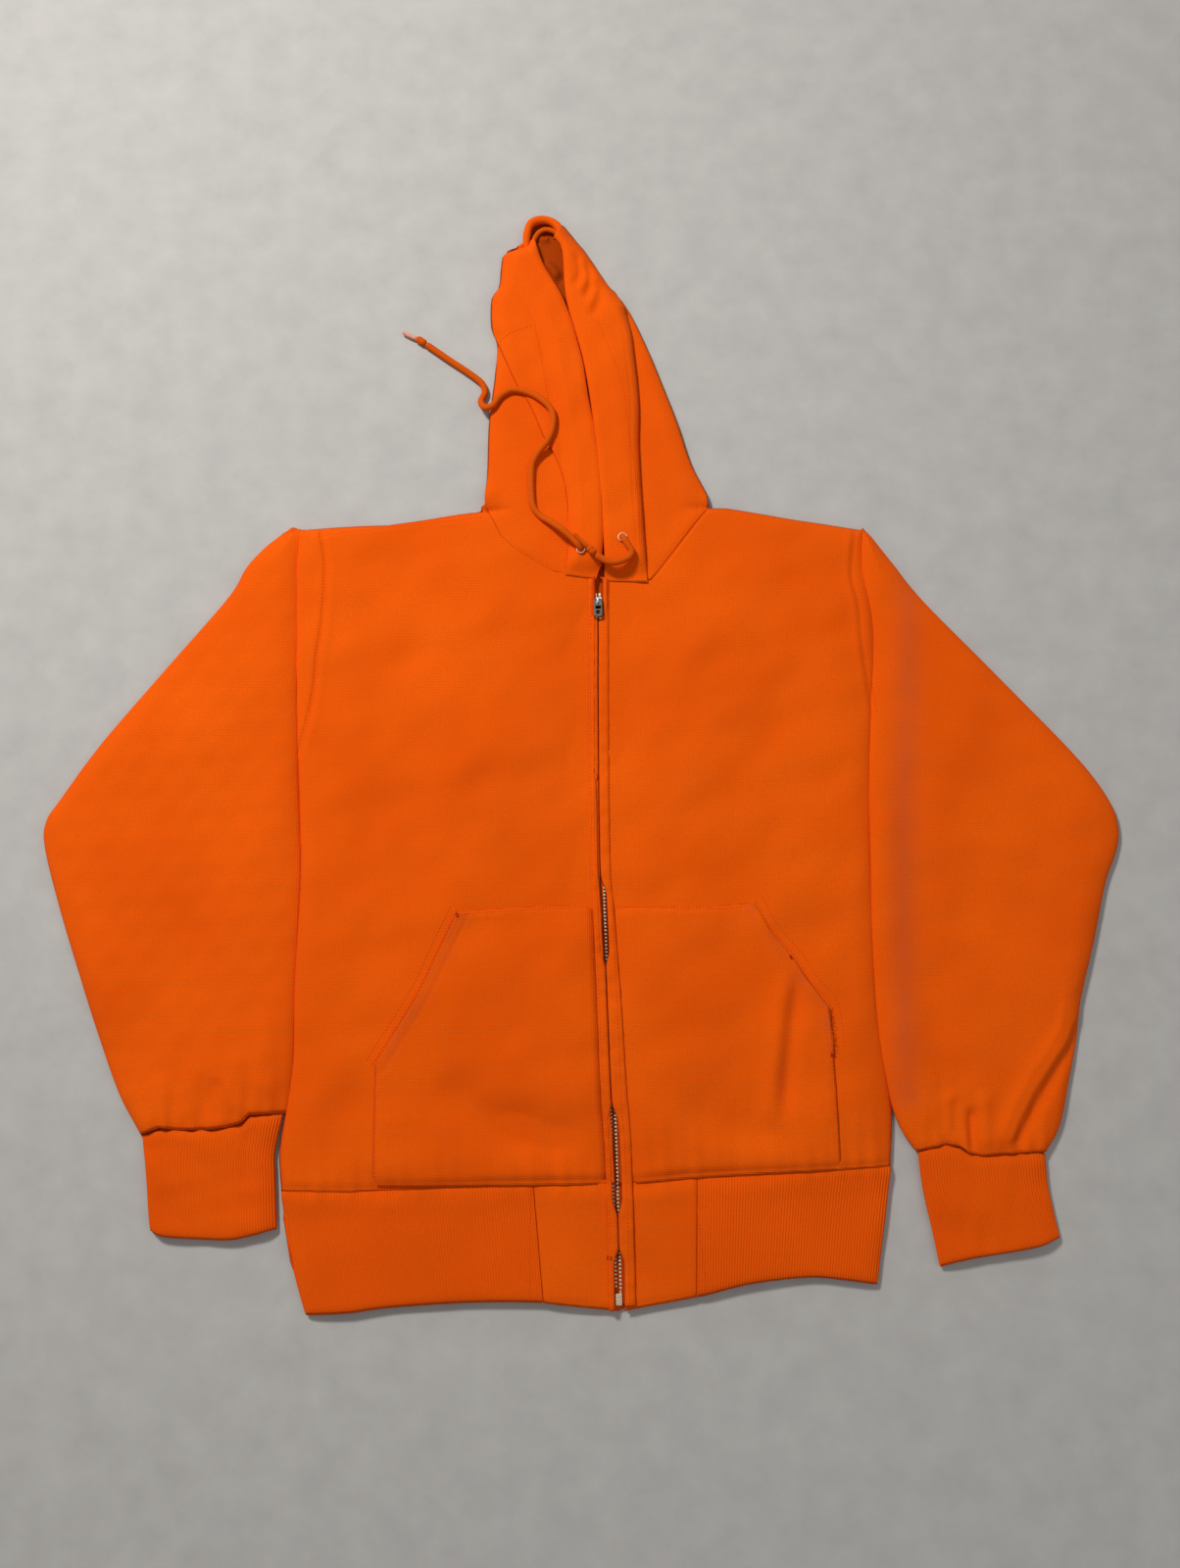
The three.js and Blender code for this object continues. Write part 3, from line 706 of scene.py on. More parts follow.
def facing(name, side):
    """Narrow turned edge along the zip, rolled over toward the teeth."""
    y = np.linspace(139, -512 if side < 0 else -508, 330)
    slit = slit_x(y) + side * slit_half(y)
    wide = np.full_like(y, 9.0) if side < 0 else np.interp(y, LEFT_FACING_Y, LEFT_FACING_WIDE)
    outer = slit_x(y) + side * wide
    t = np.linspace(0, 1, 12)
    x = slit[None, :] * (1 - t[:, None]) + outer[None, :] * t[:, None]
    xy = np.stack([x, np.broadcast_to(y, x.shape)], -1)
    d_in = np.abs(x - slit[None, :])
    d_out = np.abs(x - outer[None, :])
    over = step(-y, 150, 175) * 1.9
    z = lie_height(xy) + 1.3 + over - 1.9 * (1 - roll(d_in, 3.2)) - 1.0 * bell(d_out, 1.7)
    z += 0.22 * waves(xy, 14, 41 + side)
    if side > 0:
        z += 2.4 * step(y, 96, 116) * bell(t[:, None] - 0.45, 0.4)
    return shell(name, np.dstack([xy, z]), 2.2, BODY, flip=side > 0)


right_facing, left_facing = both(facing, "{}_facing_cloth", "fleece_facing", "{}_zip_facing")


# ---- sleeves and cuffs ---------------------------------------------------------------------
def tube_grid(top, bottom, left, right, upper, under):
    """Flattened tube: the upper face from left to right, then the under face back."""
    xy = coons(top, bottom, left, right)
    edge = np.minimum(gap(xy, left), gap(xy, right))
    a = np.dstack([xy, upper(xy, edge)])
    b = np.dstack([xy, under(xy, edge)])[::-1]
    return np.concatenate([a, b[1:-1]], 0)


def toward_edges(n):
    """0 to 1 in n steps, closer together near both ends."""
    t = np.linspace(0, 1, n + 1)
    return t - 0.11 * np.sin(2 * math.pi * t)


def resample(curve, t):
    """Points of an evenly spaced curve at the shares t of its length."""
    s = np.linspace(0, 1, len(curve))
    return np.stack([np.interp(t, s, curve[:, k]) for k in range(2)], 1)


R_OUTER = [(-284, 184), (-300, 170), (-316, 151), (-333, 120), (-393, 45), (-443, -19), (-476, -69),
           (-488, -90), (-487, -115), (-469, -172), (-447, -232), (-427, -284), (-407, -331), (-386, -366)]
R_INNER = [(-262, 188), (-266, 150), (-265, 100), (-262, 16), (-259, -40), (-255, -100), (-253, -143),
           (-255, -232), (-254, -301), (-258, -346)]
R_CUFF_SEAM = [(-386, -366), (-367, -360), (-351, -362), (-320, -361), (-307, -359), (-297, -356),
               (-290, -349), (-258, -348)]
L_OUTER = [(268, 187), (272, 183), (279, 173), (293, 154), (310, 130), (334, 102), (403, 27), (453, -29),
           (480, -68), (488, -95), (484, -118), (473, -145), (459, -198), (444, -250), (438, -284),
           (430, -317), (419, -358), (406, -380)]
L_INNER = [(262, 188), (262, 150), (267, 112), (269, 80), (267, 40), (264, 0), (261, -54), (259, -150),
           (259, -232), (262, -284), (268, -324), (274, -348), (282, -366), (292, -380)]
L_CUFF_SEAM = [(292, -380), (305, -377), (318, -374), (329, -376), (337, -381), (348, -384), (358, -383),
               (375, -382), (406, -380)]

R_FOLDS = [
    ([(-300, 150), (-330, 60), (-345, -60)], 1.8, 34),
    ([(-440, -60), (-420, -170), (-380, -270)], 1.4, 34),
    ([(-300, -80), (-310, -200), (-300, -300)], 1.4, 26),
    ([(-330, -300), (-345, -330), (-340, -358)], 2.4, 10),
    ([(-300, -290), (-305, -325), (-300, -352)], 2.2, 9),
    ([(-370, -310), (-368, -340), (-366, -358)], 1.6, 8),
    ([(-318, -315), (-322, -335), (-318, -358)], -2.2, 7),
    ([(-278, -250), (-280, -310), (-275, -345)], 1.8, 10),
]
L_FOLDS = [
    ([(290, 130), (320, 40), (330, -80)], 1.8, 32),
    ([(420, -60), (410, -180), (400, -280)], 1.4, 34),
    ([(437, -248), (428, -275), (408, -302), (386, -334), (362, -380)], 4.6, 9, 0.12),
    ([(441, -262), (433, -286), (416, -313), (396, -344), (372, -384)], -4.0, 6, 0.12),
    ([(341, -340), (340, -362), (339, -386)], -4.6, 4.5),
    ([(326, -330), (325, -352), (323, -372)], -2.6, 5),
    ([(322, -325), (324, -350), (320, -374)], 2.8, 8),
    ([(350, -325), (352, -350), (350, -382)], 2.8, 7),
    ([(290, -250), (300, -310), (306, -370)], 2.0, 14),
    ([(440, -200), (425, -290), (412, -370)], 1.6, 10),
]


def sleeve(name, outer, inner, seam, table, seed, flip):
    """Flat sleeve from the armhole to the cuff seam, with its folds and the gathers above the cuff."""
    nu, nv = 120, 200
    t = toward_edges(nu)
    left, right = spline(outer, nv), spline(inner, nv)
    top = resample(even([outer[0], ((outer[0][0] + inner[0][0]) / 2, 189), inner[0]], nu), t)
    bottom = resample(even(seam if seam[0][0] == outer[-1][0] else seam[::-1], nu), t)
    meet(left, right, top, bottom)
    seam_line = even(seam, 50)

    def upper(xy, edge):
        at_seam = gap(xy, seam_line)
        shoulder = gap(xy, even([outer[0], inner[0]], 4))
        lie = 11.8 + 1.4 * waves(xy, 190, seed) + 0.8 * waves(xy, 80, seed + 1)
        lie = lie + 0.3 * waves(xy, 33, seed + 2) + folds(xy, table)
        gather = 1.2 * waves(xy * [1, 0.15], 15, seed + 3) + 1.0
        lie = lie + np.exp(-at_seam / 22) * gather - 1.6 * bell(at_seam, 3.5)
        lie = np.clip(lie, 5, 15.4)
        return MID + (lie - MID) * roll(edge, 22) * (0.25 + 0.75 * roll(shoulder, 20))

    def under(xy, edge):
        return MID - (MID - 0.25) * roll(edge, 22)

    p = tube_grid(top, bottom, left, right, upper, under)
    return shell(name, p, FLEECE, SLEEVE, wrap=True, flip=flip)


right_sleeve = sleeve("right_sleeve_cloth", R_OUTER, R_INNER, R_CUFF_SEAM, R_FOLDS, 50, True)
left_sleeve = sleeve("left_sleeve_cloth", L_OUTER, L_INNER, L_CUFF_SEAM, L_FOLDS, 60, False)
point(-256, 0, 8)
point(-292, 0, 8)
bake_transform(right_sleeve)
point(259, 0, 8)
point(295, 0, 8)
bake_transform(left_sleeve)
placed(right_sleeve, None, "fleece_sleeve", "right_sleeve")
placed(left_sleeve, None, "fleece_sleeve", "left_sleeve")


def cuff(name, seam, end, left, right, seed, around, flip):
    """Ribbed tube lying flat; around is its girth."""
    across = 6
    n = int(around / 2 / RIB_PITCH * across)
    nv = 40
    t = toward_edges(n)
    top = resample(even(seam, 200), t)
    bottom = resample(even(spline(end, 200), 200), t)
    le, ri = spline(left, nv), spline(right, nv)
    meet(le, ri, top, bottom)
    seam_line, end_line = even(seam, 40), even(spline(end, 40), 40)

    def upper(xy, edge):
        s, e = gap(xy, seam_line), gap(xy, end_line)
        lie = 10.9 + 0.8 * waves(xy, 60, seed) + 0.3 * waves(xy, 25, seed + 1)
        lie = lie - 2.2 * bell(s, 5) - 2.2 * (1 - roll(e, 7))
        return MID + (lie - MID) * roll(edge, 15)

    def under(xy, edge):
        e = gap(xy, end_line)
        return MID - (MID - 0.5) * roll(edge, 15) + 1.2 * (1 - roll(e, 7)) * roll(edge, 15)

    p = tube_grid(top, bottom, le, ri, upper, under)
    nrm = grid_normals(p, True)
    nrm *= np.sign(nrm[n // 2, nv // 2, 2]) or 1
    girth = np.linalg.norm(np.roll(p, -1, 0) - p, axis=2).mean(1)
    s = np.r_[0, np.cumsum(girth)[:-1]]
    turns = round(s[-1] / RIB_PITCH)
    wave = np.cos(2 * math.pi * s / (s[-1] + girth[-1]) * turns)[:, None]
    v = np.linspace(0, 1, nv + 1)[None, :]
    ribbed = p + nrm * (0.45 * wave * step(v, 0, 0.04))[..., None]
    return shell(name, ribbed, RIBBED, RIB, wrap=True, flip=flip, smooth=p)


right_cuff = cuff(
    "right_cuff_cloth", R_CUFF_SEAM[:-1] + [(-262, -349)],
    [(-373, -446), (-362, -451), (-339, -453), (-305, -454), (-286, -451), (-264, -445)],
    [(-384, -368), (-379, -401), (-375, -434), (-373, -446)],
    [(-262, -349), (-268, -380), (-267, -401), (-264, -445)],
    70, 250, True)
left_cuff = cuff(
    "left_cuff_cloth", [(294, -381)] + L_CUFF_SEAM[1:-1] + [(404, -381)],
    [(309, -476), (333, -470), (370, -464), (395, -459), (413, -452)],
    [(294, -381), (297, -412), (304, -448), (309, -476)],
    [(404, -381), (405, -407), (409, -432), (413, -452)],
    80, 240, True)
placed(right_cuff, "right_sleeve_body", "rib_knit", "right_cuff")
placed(left_cuff, "left_sleeve_body", "rib_knit", "left_cuff")

# ---- hood ----------------------------------------------------------------------------------
HOOD_EDGE_R = [(-92, 213), (-90, 250), (-89, 297), (-84, 343), (-82, 376), (-88, 396), (-88, 425),
               (-81, 438), (-79, 458), (-77, 471), (-66, 476), (-54, 481), (-53, 500)]
HOOD_EDGE_L = [(119, 209), (117, 226), (103, 256), (91, 295), (76, 337), (61, 376), (43, 415), (24, 440),
               (3, 473), (-9, 488), (-21, 503)]
HOOD_TIP = [(-53, 500), (-50, 507), (-37, 510), (-28, 509), (-21, 503)]
OPEN_R = [(-47, 486), (-38, 458), (-15, 414), (0, 359), (7, 314), (16, 264), (20, 215), (19, 163),
          (13, 141)]
OPEN_L = [(-28, 484), (-20, 469), (-16, 419), (1, 352), (11.5, 280), (16, 227), (20, 170), (21, 139)]
FOLD_R = [(-82, 376), (-63, 332), (-50, 311), (-37, 280), (-25, 258), (-17, 233), (-14, 210), (-14, 176),
          (-16, 144)]
FREE_L = [(36, 424), (46, 392), (50, 359), (54, 316), (54, 264), (57, 202), (61, 137)]
hood_edges = [spline(HOOD_EDGE_R, 80), spline(HOOD_EDGE_L, 80), spline(HOOD_TIP, 12)]
neck_lines = [spline(NECK_RIGHT, 40), even(NECK_LEFT, 40)]


def hood_height(xy):
    """Outer face of the hood's lower front layer."""
    edge = nearest(xy, hood_edges)
    neck = nearest(xy, neck_lines)
    lie = 9.6 + 0.7 * waves(xy, 110, 91) + 0.35 * waves(xy, 45, 92)
    lie = MID + (lie - MID) * roll(edge, 17)
    lower = front_height(xy)
    t = step(neck, 0, 26)
    above = step(xy[..., 1], 139, 150)
    z = lower * (1 - t) + lie * t
    return z - 1.0 * bell(neck, 3.5) * above


def layer(name, left, right, top, bottom, nu, nv, height, mat=HOOD, tuck=0.0):
    """One of the hood's five layers of cloth, between four edges."""
    le, ri = spline(left, nv), spline(right, nv)
    to, bo = spline(top, nu), spline(bottom, nu)
    meet(to, bo, le, ri)
    xy = tucked(coons(to, bo, le, ri), tuck, 14)
    return shell(name, np.dstack([xy, height(xy)]), FLEECE, mat, flip=True)


def hood_back_height(xy):
    """The hood's underside, with the crumpled lining that shows in the opening."""
    edge = nearest(xy, hood_edges)
    crumpled = folds(xy, [
        ([(-40, 464), (-30, 455), (-22, 444)], 6.0, 5.5), ([(-19, 446), (-16, 434), (-15, 422)], 3.5, 3),
        ([(-44, 492), (-38, 488), (-32, 490)], 3.0, 3),
    ])
    return MID - (MID - 2.6) * roll(edge, 17) + crumpled


# the hood's underside takes the darkened fleece: painted shade in the opening and along the rim
hood_back = layer("hood_back_cloth", HOOD_EDGE_R[::-1], HOOD_EDGE_L[::-1],
                  HOOD_TIP, [(-92, 213), (14, 212), (119, 209)], 70, 100, hood_back_height, HOOD_INSIDE_PAINTED_SHADE)
placed(hood_back, "torso", "fleece_hood")


def lower_right(xy):
    """The panel on the wearer's right, below the folded hem."""
    z = hood_height(xy) + 0.3
    z += folds(xy, [([(-72, 330), (-58, 260), (-62, 200)], 1.6, 14),
                    ([(-40, 300), (-30, 240), (-25, 190)], -1.8, 14)])
    return z


hood_right = layer("hood_right_cloth", HOOD_EDGE_R[4::-1] + NECK_RIGHT[1:4],
                   [(-20, 400), (4, 300), (13, 210), (15, 141)], [(-82, 376), (-55, 392), (-20, 400)],
                   [(-62, 167), (-49, 159), (-25, 145), (15, 141)], 60, 110, lower_right)
placed(hood_right, "torso", "fleece_hood", "hood_right_panel")


def outer_left(xy):
    """The panel on the wearer's left."""
    z = hood_height(xy) + 0.3
    return z + folds(xy, [([(70, 330), (85, 260), (95, 210)], 1.0, 16)])


hood_left = layer("hood_left_cloth", [(4, 455), (20, 400), (36, 300), (42, 200), (44, 138)],
                  HOOD_EDGE_L[-3::-1], [(4, 455), (3, 473)],
                  [(44, 138), (61, 137), (68, 142), (94, 176), (119, 209)], 56, 110, outer_left)
placed(hood_left, "torso", "fleece_hood", "hood_left_panel")

open_r, open_l = spline(OPEN_R, 60), spline(OPEN_L, 60)
fold_r, free_l = spline(FOLD_R, 60), spline(FREE_L, 60)
upper_r = spline(HOOD_EDGE_R[4:], 50)
upper_l = spline(HOOD_EDGE_L[5:], 40)


def rolled_down(z, to_edge, where):
    """Brings a height down at the hood's outline, where the share called where is 1."""
    low = MID + (z - MID) * roll(to_edge, 15)
    return z * (1 - where) + low * where


def hem_right(xy):
    """The wearer's right front edge of the hood: a tunnel with the cord in it, folded over the panel."""
    y = xy[..., 1]
    d_open = gap(xy, open_r)
    d_fold = gap(xy, fold_r)
    z = hood_height(xy) + 0.4 + 2.9 * roll(d_fold + 60 * step(y, 372, 392), 7)
    tunnel = step(34 - d_open, 0, 14) * (5.0 + 1.0 * step(-y, -262, -205)) * (1 - 0.35 * step(y, 340, 420))
    z = z + tunnel - 0.35 * bell(d_open - 36, 2.0)
    z = z - 4.5 * (1 - roll(d_open, 7)) * step(y, 139, 150)
    z = z + folds(xy, [([(-60, 440), (-50, 380), (-20, 330)], 1.2, 12),
                       ([(-75, 420), (-60, 370), (-45, 330)], -1.0, 10)])
    z = z + 0.5 * waves(xy, 38, 93)
    z = rolled_down(z, gap(xy, upper_r), step(y, 365, 385))
    return z - (z - front_height(xy) - 0.3) * bell(np.maximum(y - 141, 0), 12)


hood_hem_right = layer("right_hood_hem_cloth", HOOD_EDGE_R[4:11][::-1] + FOLD_R[1:], OPEN_R,
                       [(-66, 476), (-56, 481), (-47, 486)], [(-16, 144), (0, 142), (13, 141)],
                       64, 150, hem_right, tuck=2.6)
placed(hood_hem_right, "torso", "fleece_hood", "right_hood_hem")


def hem_left(xy):
    """The wearer's left front edge of the hood, which lies free along the panel below."""
    y = xy[..., 1]
    d_open = gap(xy, open_l)
    d_free = gap(xy, free_l)
    z = hood_height(xy) + 1.8 + 7.4 * roll(d_free + 60 * step(y, 405, 432), 10)
    z = z - 0.4 * bell(d_free - 8, 1.6) * step(-y, -400, -360)
    z = z - 4.2 * (1 - roll(d_open, 7)) * step(y, 139, 150)
    z = z + folds(xy, [
        ([(-8, 470), (-2, 448), (-9, 428)], -2.4, 4),
        ([(2, 462), (8, 436), (0, 414)], -2.6, 5),
        ([(12, 440), (16, 418), (8, 394)], -2.0, 6),
        ([(-4, 462), (3, 440), (-4, 420)], 1.6, 4), ([(8, 448), (12, 425), (4, 402)], 1.6, 4),
        ([(20, 400), (33, 340), (38, 280), (40, 200)], 1.2, 9),
    ]) + 0.45 * waves(xy, 40, 94)
    z = rolled_down(z, gap(xy, upper_l), step(y, 372, 392))
    above = z - front_height(xy) - 0.3 - 1.6 * step(xy[..., 0], 46, 56)
    return z - above * bell(np.maximum(y - 139, 0), 11)


hood_hem_left = layer("left_hood_hem_cloth", OPEN_L, HOOD_EDGE_L[5:][::-1][:-2] + FREE_L,
                      [(-28, 484), (-22, 496), (-21, 503)], [(21, 139), (40, 138), (61, 137)],
                      64, 150, hem_left, tuck=2.4)
placed(hood_hem_left, "torso", "fleece_hood", "left_hood_hem")

# ---- small parts: tubes, lathed rings and flat metal plates --------------------------------
def frames(path):
    """Unit side and up directions carried along a path."""
    ahead = np.gradient(path, axis=0)
    ahead /= np.linalg.norm(ahead, axis=1, keepdims=True)
    side = np.zeros_like(path)
    v = np.cross(ahead[0], [0, 0, 1.0])
    if np.linalg.norm(v) < 0.1:
        v = np.cross(ahead[0], [0, 1.0, 0])
    for i, a in enumerate(ahead):
        v = v - a * (v @ a)
        v = v / np.linalg.norm(v)
        side[i] = v
    return ahead, side, np.cross(ahead, side)


def tube(path, radius, around=28):
    """Round solid along a path; radius is a number or a grid [along, around]. Verts and faces."""
    path = np.asarray(path, float)
    _, side, up = frames(path)
    a = np.linspace(0, 2 * math.pi, around, endpoint=False)
    r = np.broadcast_to(radius, (len(path), around))[..., None]
    ring = side[:, None] * np.cos(a)[None, :, None] + up[:, None] * np.sin(a)[None, :, None]
    verts = np.vstack([(path[:, None] + ring * r).reshape(-1, 3), path[:1], path[-1:]])
    i, j = np.meshgrid(np.arange(len(path) - 1), np.arange(around), indexing="ij")
    k = (j + 1) % around
    near, far = i * around, (i + 1) * around
    faces = np.stack([near + j, far + j, far + k, near + k], -1).reshape(-1, 4).tolist()
    first, last = len(verts) - 2, len(verts) - 1
    end = (len(path) - 1) * around
    for j in range(around):
        k = (j + 1) % around
        faces += [[first, j, k], [last, end + k, end + j]]
    return verts, faces


def ends_rounded(n, spacing, r):
    """Factor that brings a tube's radius to nothing over its last millimetres."""
    s = np.minimum(np.arange(n), np.arange(n)[::-1]) * spacing
    return np.sqrt(np.clip(1 - (1 - np.clip(s / r, 0.02, 1)) ** 2, 0.01, 1))


def together(parts):
    """Several (verts, faces) as one."""
    verts, faces, base = [], [], 0
    for v, f in parts:
        verts.append(np.asarray(v, float))
        faces += [[base + i for i in face] for face in f]
        base += len(v)
    return np.vstack(verts), faces


def solid_object(name, parts, mat):
    verts, faces = together(parts)
    return mesh_object(name, verts, faces, mat)


def flat_part(outline, low, high, bevel=0.25, holes=(), turn=None):
    """Plate with rounded edges: outlines in its own plane, turned and lifted by turn()."""
    data = bpy.data.curves.new("plate", "CURVE")
    data.dimensions = "2D"
    data.fill_mode = "BOTH"
    for ring in (outline, *holes):
        line = data.splines.new("POLY")
        line.points.add(len(ring) - 1)
        for p, q in zip(line.points, ring):
            p.co = (q[0], q[1], 0, 1)
        line.use_cyclic_u = True
    data.extrude = (high - low) / 2 - bevel
    data.bevel_depth = bevel
    data.bevel_resolution = 2
    data.offset = -bevel
    obj = bpy.data.objects.new("plate", data)
    mesh = bpy.data.meshes.new_from_object(obj)
    verts = np.array([v.co[:] for v in mesh.vertices]) + [0, 0, (low + high) / 2]
    faces = [list(p.vertices) for p in mesh.polygons]
    bpy.data.objects.remove(obj)
    bpy.data.curves.remove(data)
    bpy.data.meshes.remove(mesh)
    return (verts if turn is None else turn(verts)), faces


def rounded(points, r=0.5, steps=3):
    """Polygon with its corners rounded."""
    p = np.asarray(points, float)
    out = []
    for a, b, c in zip(np.roll(p, 1, 0), p, np.roll(p, -1, 0)):
        m = min(r, np.linalg.norm(a - b) * 0.45, np.linalg.norm(c - b) * 0.45)
        s, e = b + (a - b) / np.linalg.norm(a - b) * m, b + (c - b) / np.linalg.norm(c - b) * m
        for t in np.linspace(0, 1, steps + 1):
            out.append((1 - t) ** 2 * s + 2 * t * (1 - t) * b + t * t * e)
    return [tuple(q) for q in out]


def plate(x0, y0, x1, y1, r):
    """Rounded rectangle."""
    return rounded([(x0, y0), (x1, y0), (x1, y1), (x0, y1)], r)


CHAIN_TOP = (14.5, 122.0)
LEAN = math.atan2(17.5, 630)


def on_chain(verts):
    """From the zip's own frame, chain down -Y from its top, to the garment's."""
    v = np.asarray(verts, float).copy()
    c, s = math.cos(LEAN), math.sin(LEAN)
    x, y = v[:, 0].copy(), v[:, 1].copy()
    v[:, 0] = c * x - s * y + CHAIN_TOP[0]
    v[:, 1] = s * x + c * y + CHAIN_TOP[1]
    return v


def chain_object(name, parts, mat, node_name, body="torso", slot="zip_metal"):
    verts, faces = together(parts)
    obj = mesh_object(name, on_chain(verts), faces, mat)
    obj.data.set_sharp_from_angle(angle=0.6)
    return placed(obj, body, slot, node_name)


# ---- height of what has been laid so far ---------------------------------------------------
def skin(*objects):
    """Ray target made of several meshes."""
    verts, polys, base = [], [], 0
    for o in objects:
        verts += [tuple(v.co) for v in o.data.vertices]
        polys += [[base + i for i in p.vertices] for p in o.data.polygons]
        base = len(verts)
    return BVHTree.FromPolygons(verts, polys)


def drop(tree, x, y, miss=-50.0):
    """Height of the topmost cloth at a place, in millimetres."""
    hit = tree.ray_cast(Vector(point(x, y, 80)), Vector((0, 0, -1)))[0]
    return miss if hit is None else hit.z * 1000


CLOTH = [right_front, left_front, right_pocket, left_pocket, right_facing, left_facing, band, right_inset,
         left_inset, right_sleeve, left_sleeve, right_cuff, left_cuff, hood_right, hood_left,
         hood_hem_right, hood_hem_left, hood_back]
surface = skin(*CLOTH)
hems = skin(hood_hem_right, hood_hem_left)

# ---- hood: the hem rolled round the tip ------------------------------------------------------
def hood_tip_rim():
    n = 60
    path = spline([(-55, 474, 8.5), (-54.5, 490, 9.5), (-50, 502, 10), (-38, 505.5, 10), (-27, 501, 10),
                   (-20, 490, 10), (-16, 476, 11)], n)
    turn = np.linspace(-0.35 * math.pi, 1.35 * math.pi, 22)[None, :, None]
    taper = 0.6 + 0.4 * step(np.linspace(0, 1, n + 1), 0, 0.2) * step(np.linspace(1, 0, n + 1), 0, 0.25)
    radius = 3.9 * taper[:, None] * (1 + 0.05 * np.sin(np.linspace(0, 19, n + 1))[:, None])
    up = np.array([0, 0, 1.0])
    side = np.cross(np.gradient(path, axis=0), up)
    side /= np.linalg.norm(side, axis=1, keepdims=True)
    rim = path[:, None] + (side[:, None] * np.cos(turn) + up * np.sin(turn)) * radius[..., None]
    return shell("hood_tip_rim_cloth", rim, 1.8, HOOD)


tip_rim = hood_tip_rim()
placed(tip_rim, "torso", "fleece_hood")

# ---- drawcord ------------------------------------------------------------------------------
CORD_D = 6.2
EYELETS = {"right": (-1.3, 164.5), "left": (37.5, 176.0)}
LONG_END = [
    (-1.3, 164.5, 18.5), (-1.5, 164.8, 21.2), (-4.2, 167.8, 23.7), (-9.5, 173.5, 24.2), (-20, 183, 23.8),
    (-30, 192, 18), (-39, 199, 13.4), (-46, 208, 12.9), (-48, 221, 12.9), (-48.5, 236, 12.9),
    (-47.5, 251, 12.9), (-42, 262, 13.6), (-33, 273, 16), (-28, 288, 16.4), (-29, 303, 16.4),
    (-38, 314, 16.2), (-52, 323, 14), (-67, 326, 12.9), (-78, 320, 12.9), (-86, 310, 12.9),
    (-93.5, 309, 11.4), (-97.5, 318, 5.2), (-94, 328, 3.5), (-97, 337, 3.4), (-106, 345, 3.4),
    (-117, 353, 3.4), (-130, 362, 3.4), (-143, 371.5, 3.4), (-152, 378, 3.5),
]
SHORT_END = [
    (37.5, 176, 18.5), (37.6, 175.8, 21.2), (39.4, 172.2, 23.7), (42.5, 167, 24.2), (46, 160.5, 23.9),
    (43, 155, 23.7), (33.4, 150.8, 23.7), (24, 151, 23.8), (16.5, 155, 24), (12.6, 158, 24.2),
]


def braided(name, route, diameter, around=30, spacing=0.75):
    """Braided round cord, with the strands' relief worked into the surface."""
    length = length_of(spline(route, 400))
    path = spline(route, int(length / spacing))
    s = np.linspace(0, length, len(path))[:, None]
    a = np.linspace(0, 2 * math.pi, around, endpoint=False)[None, :]
    turn = 2 * math.pi / 9.0
    strands = np.maximum(np.abs(np.sin(3 * a + turn * 1.5 * s)), np.abs(np.sin(3 * a - turn * 1.5 * s)))
    r = diameter / 2 * (0.86 + 0.16 * strands)
    r = r * ends_rounded(len(path), spacing, diameter * 0.45)[:, None]
    return mesh_object(name, *tube(path, r, around), CORD), path


long_cord, long_path = braided("right_drawcord_end_braid", LONG_END, CORD_D)
short_cord, short_path = braided("left_drawcord_end_braid", SHORT_END, CORD_D)
placed(long_cord, "torso", "drawcord", "right_drawcord_end")
placed(short_cord, "torso", "drawcord", "left_drawcord_end")


def knot(name, start, stop, node_name):
    """Tight overhand knot: the cord swells where it wraps round itself."""
    start, stop = np.array(start), np.array(stop)
    path = spline([start, (start + stop) / 2 + [0, 0, 0.3], stop], 40)
    t = np.linspace(0, 1, 41)[:, None]
    a = np.linspace(0, 2 * math.pi, 30, endpoint=False)[None, :]
    wraps = np.abs(np.sin(a * 0.5 + 2.5 * math.pi * t))
    r = (2.5 + 1.05 * np.sin(math.pi * t) ** 0.6) * (0.9 + 0.12 * wraps)
    r = r * ends_rounded(41, 0.25, 1.5)[:, None]
    return placed(mesh_object(name, *tube(path, r, 30), CORD), "torso", "drawcord", node_name)


def sealed_tip(name, start, heading, pitch, length, node_name, mat=TIP):
    level = math.cos(pitch)
    d = np.array([math.cos(heading) * level, math.sin(heading) * level, math.sin(pitch)])
    s = np.linspace(0, 1, 50)[:, None]
    bend = np.array([-d[1], d[0], 0]) * 0.6
    path = np.array(start) + d * s * length + bend * np.sin(math.pi * s)
    r = (2.05 - 0.35 * s) * (1 + 0.03 * np.sin(40 * s)) * ends_rounded(50, length / 50, 1.6)[:, None]
    return placed(mesh_object(name, *tube(path, r, 24), mat), "torso", "cord_tip", node_name)


long_knot = knot("right_knot_wrapped", (-151.6, 377.8, 3.6), (-161.2, 384.0, 3.5), "right_knot")
long_tip = sealed_tip("right_cord_tip_sealed", (-160.4, 383.6, 3.4), 2.7, 0.0, 16, "right_cord_tip")
short_knot = knot("left_knot_wrapped", (12.4, 158.0, 24.3), (5.0, 165.0, 25.4), "left_knot")
short_tip = sealed_tip("left_cord_tip_sealed", (5.4, 164.6, 25.5), 2.37, 0.13, 18, "left_cord_tip", CORD)

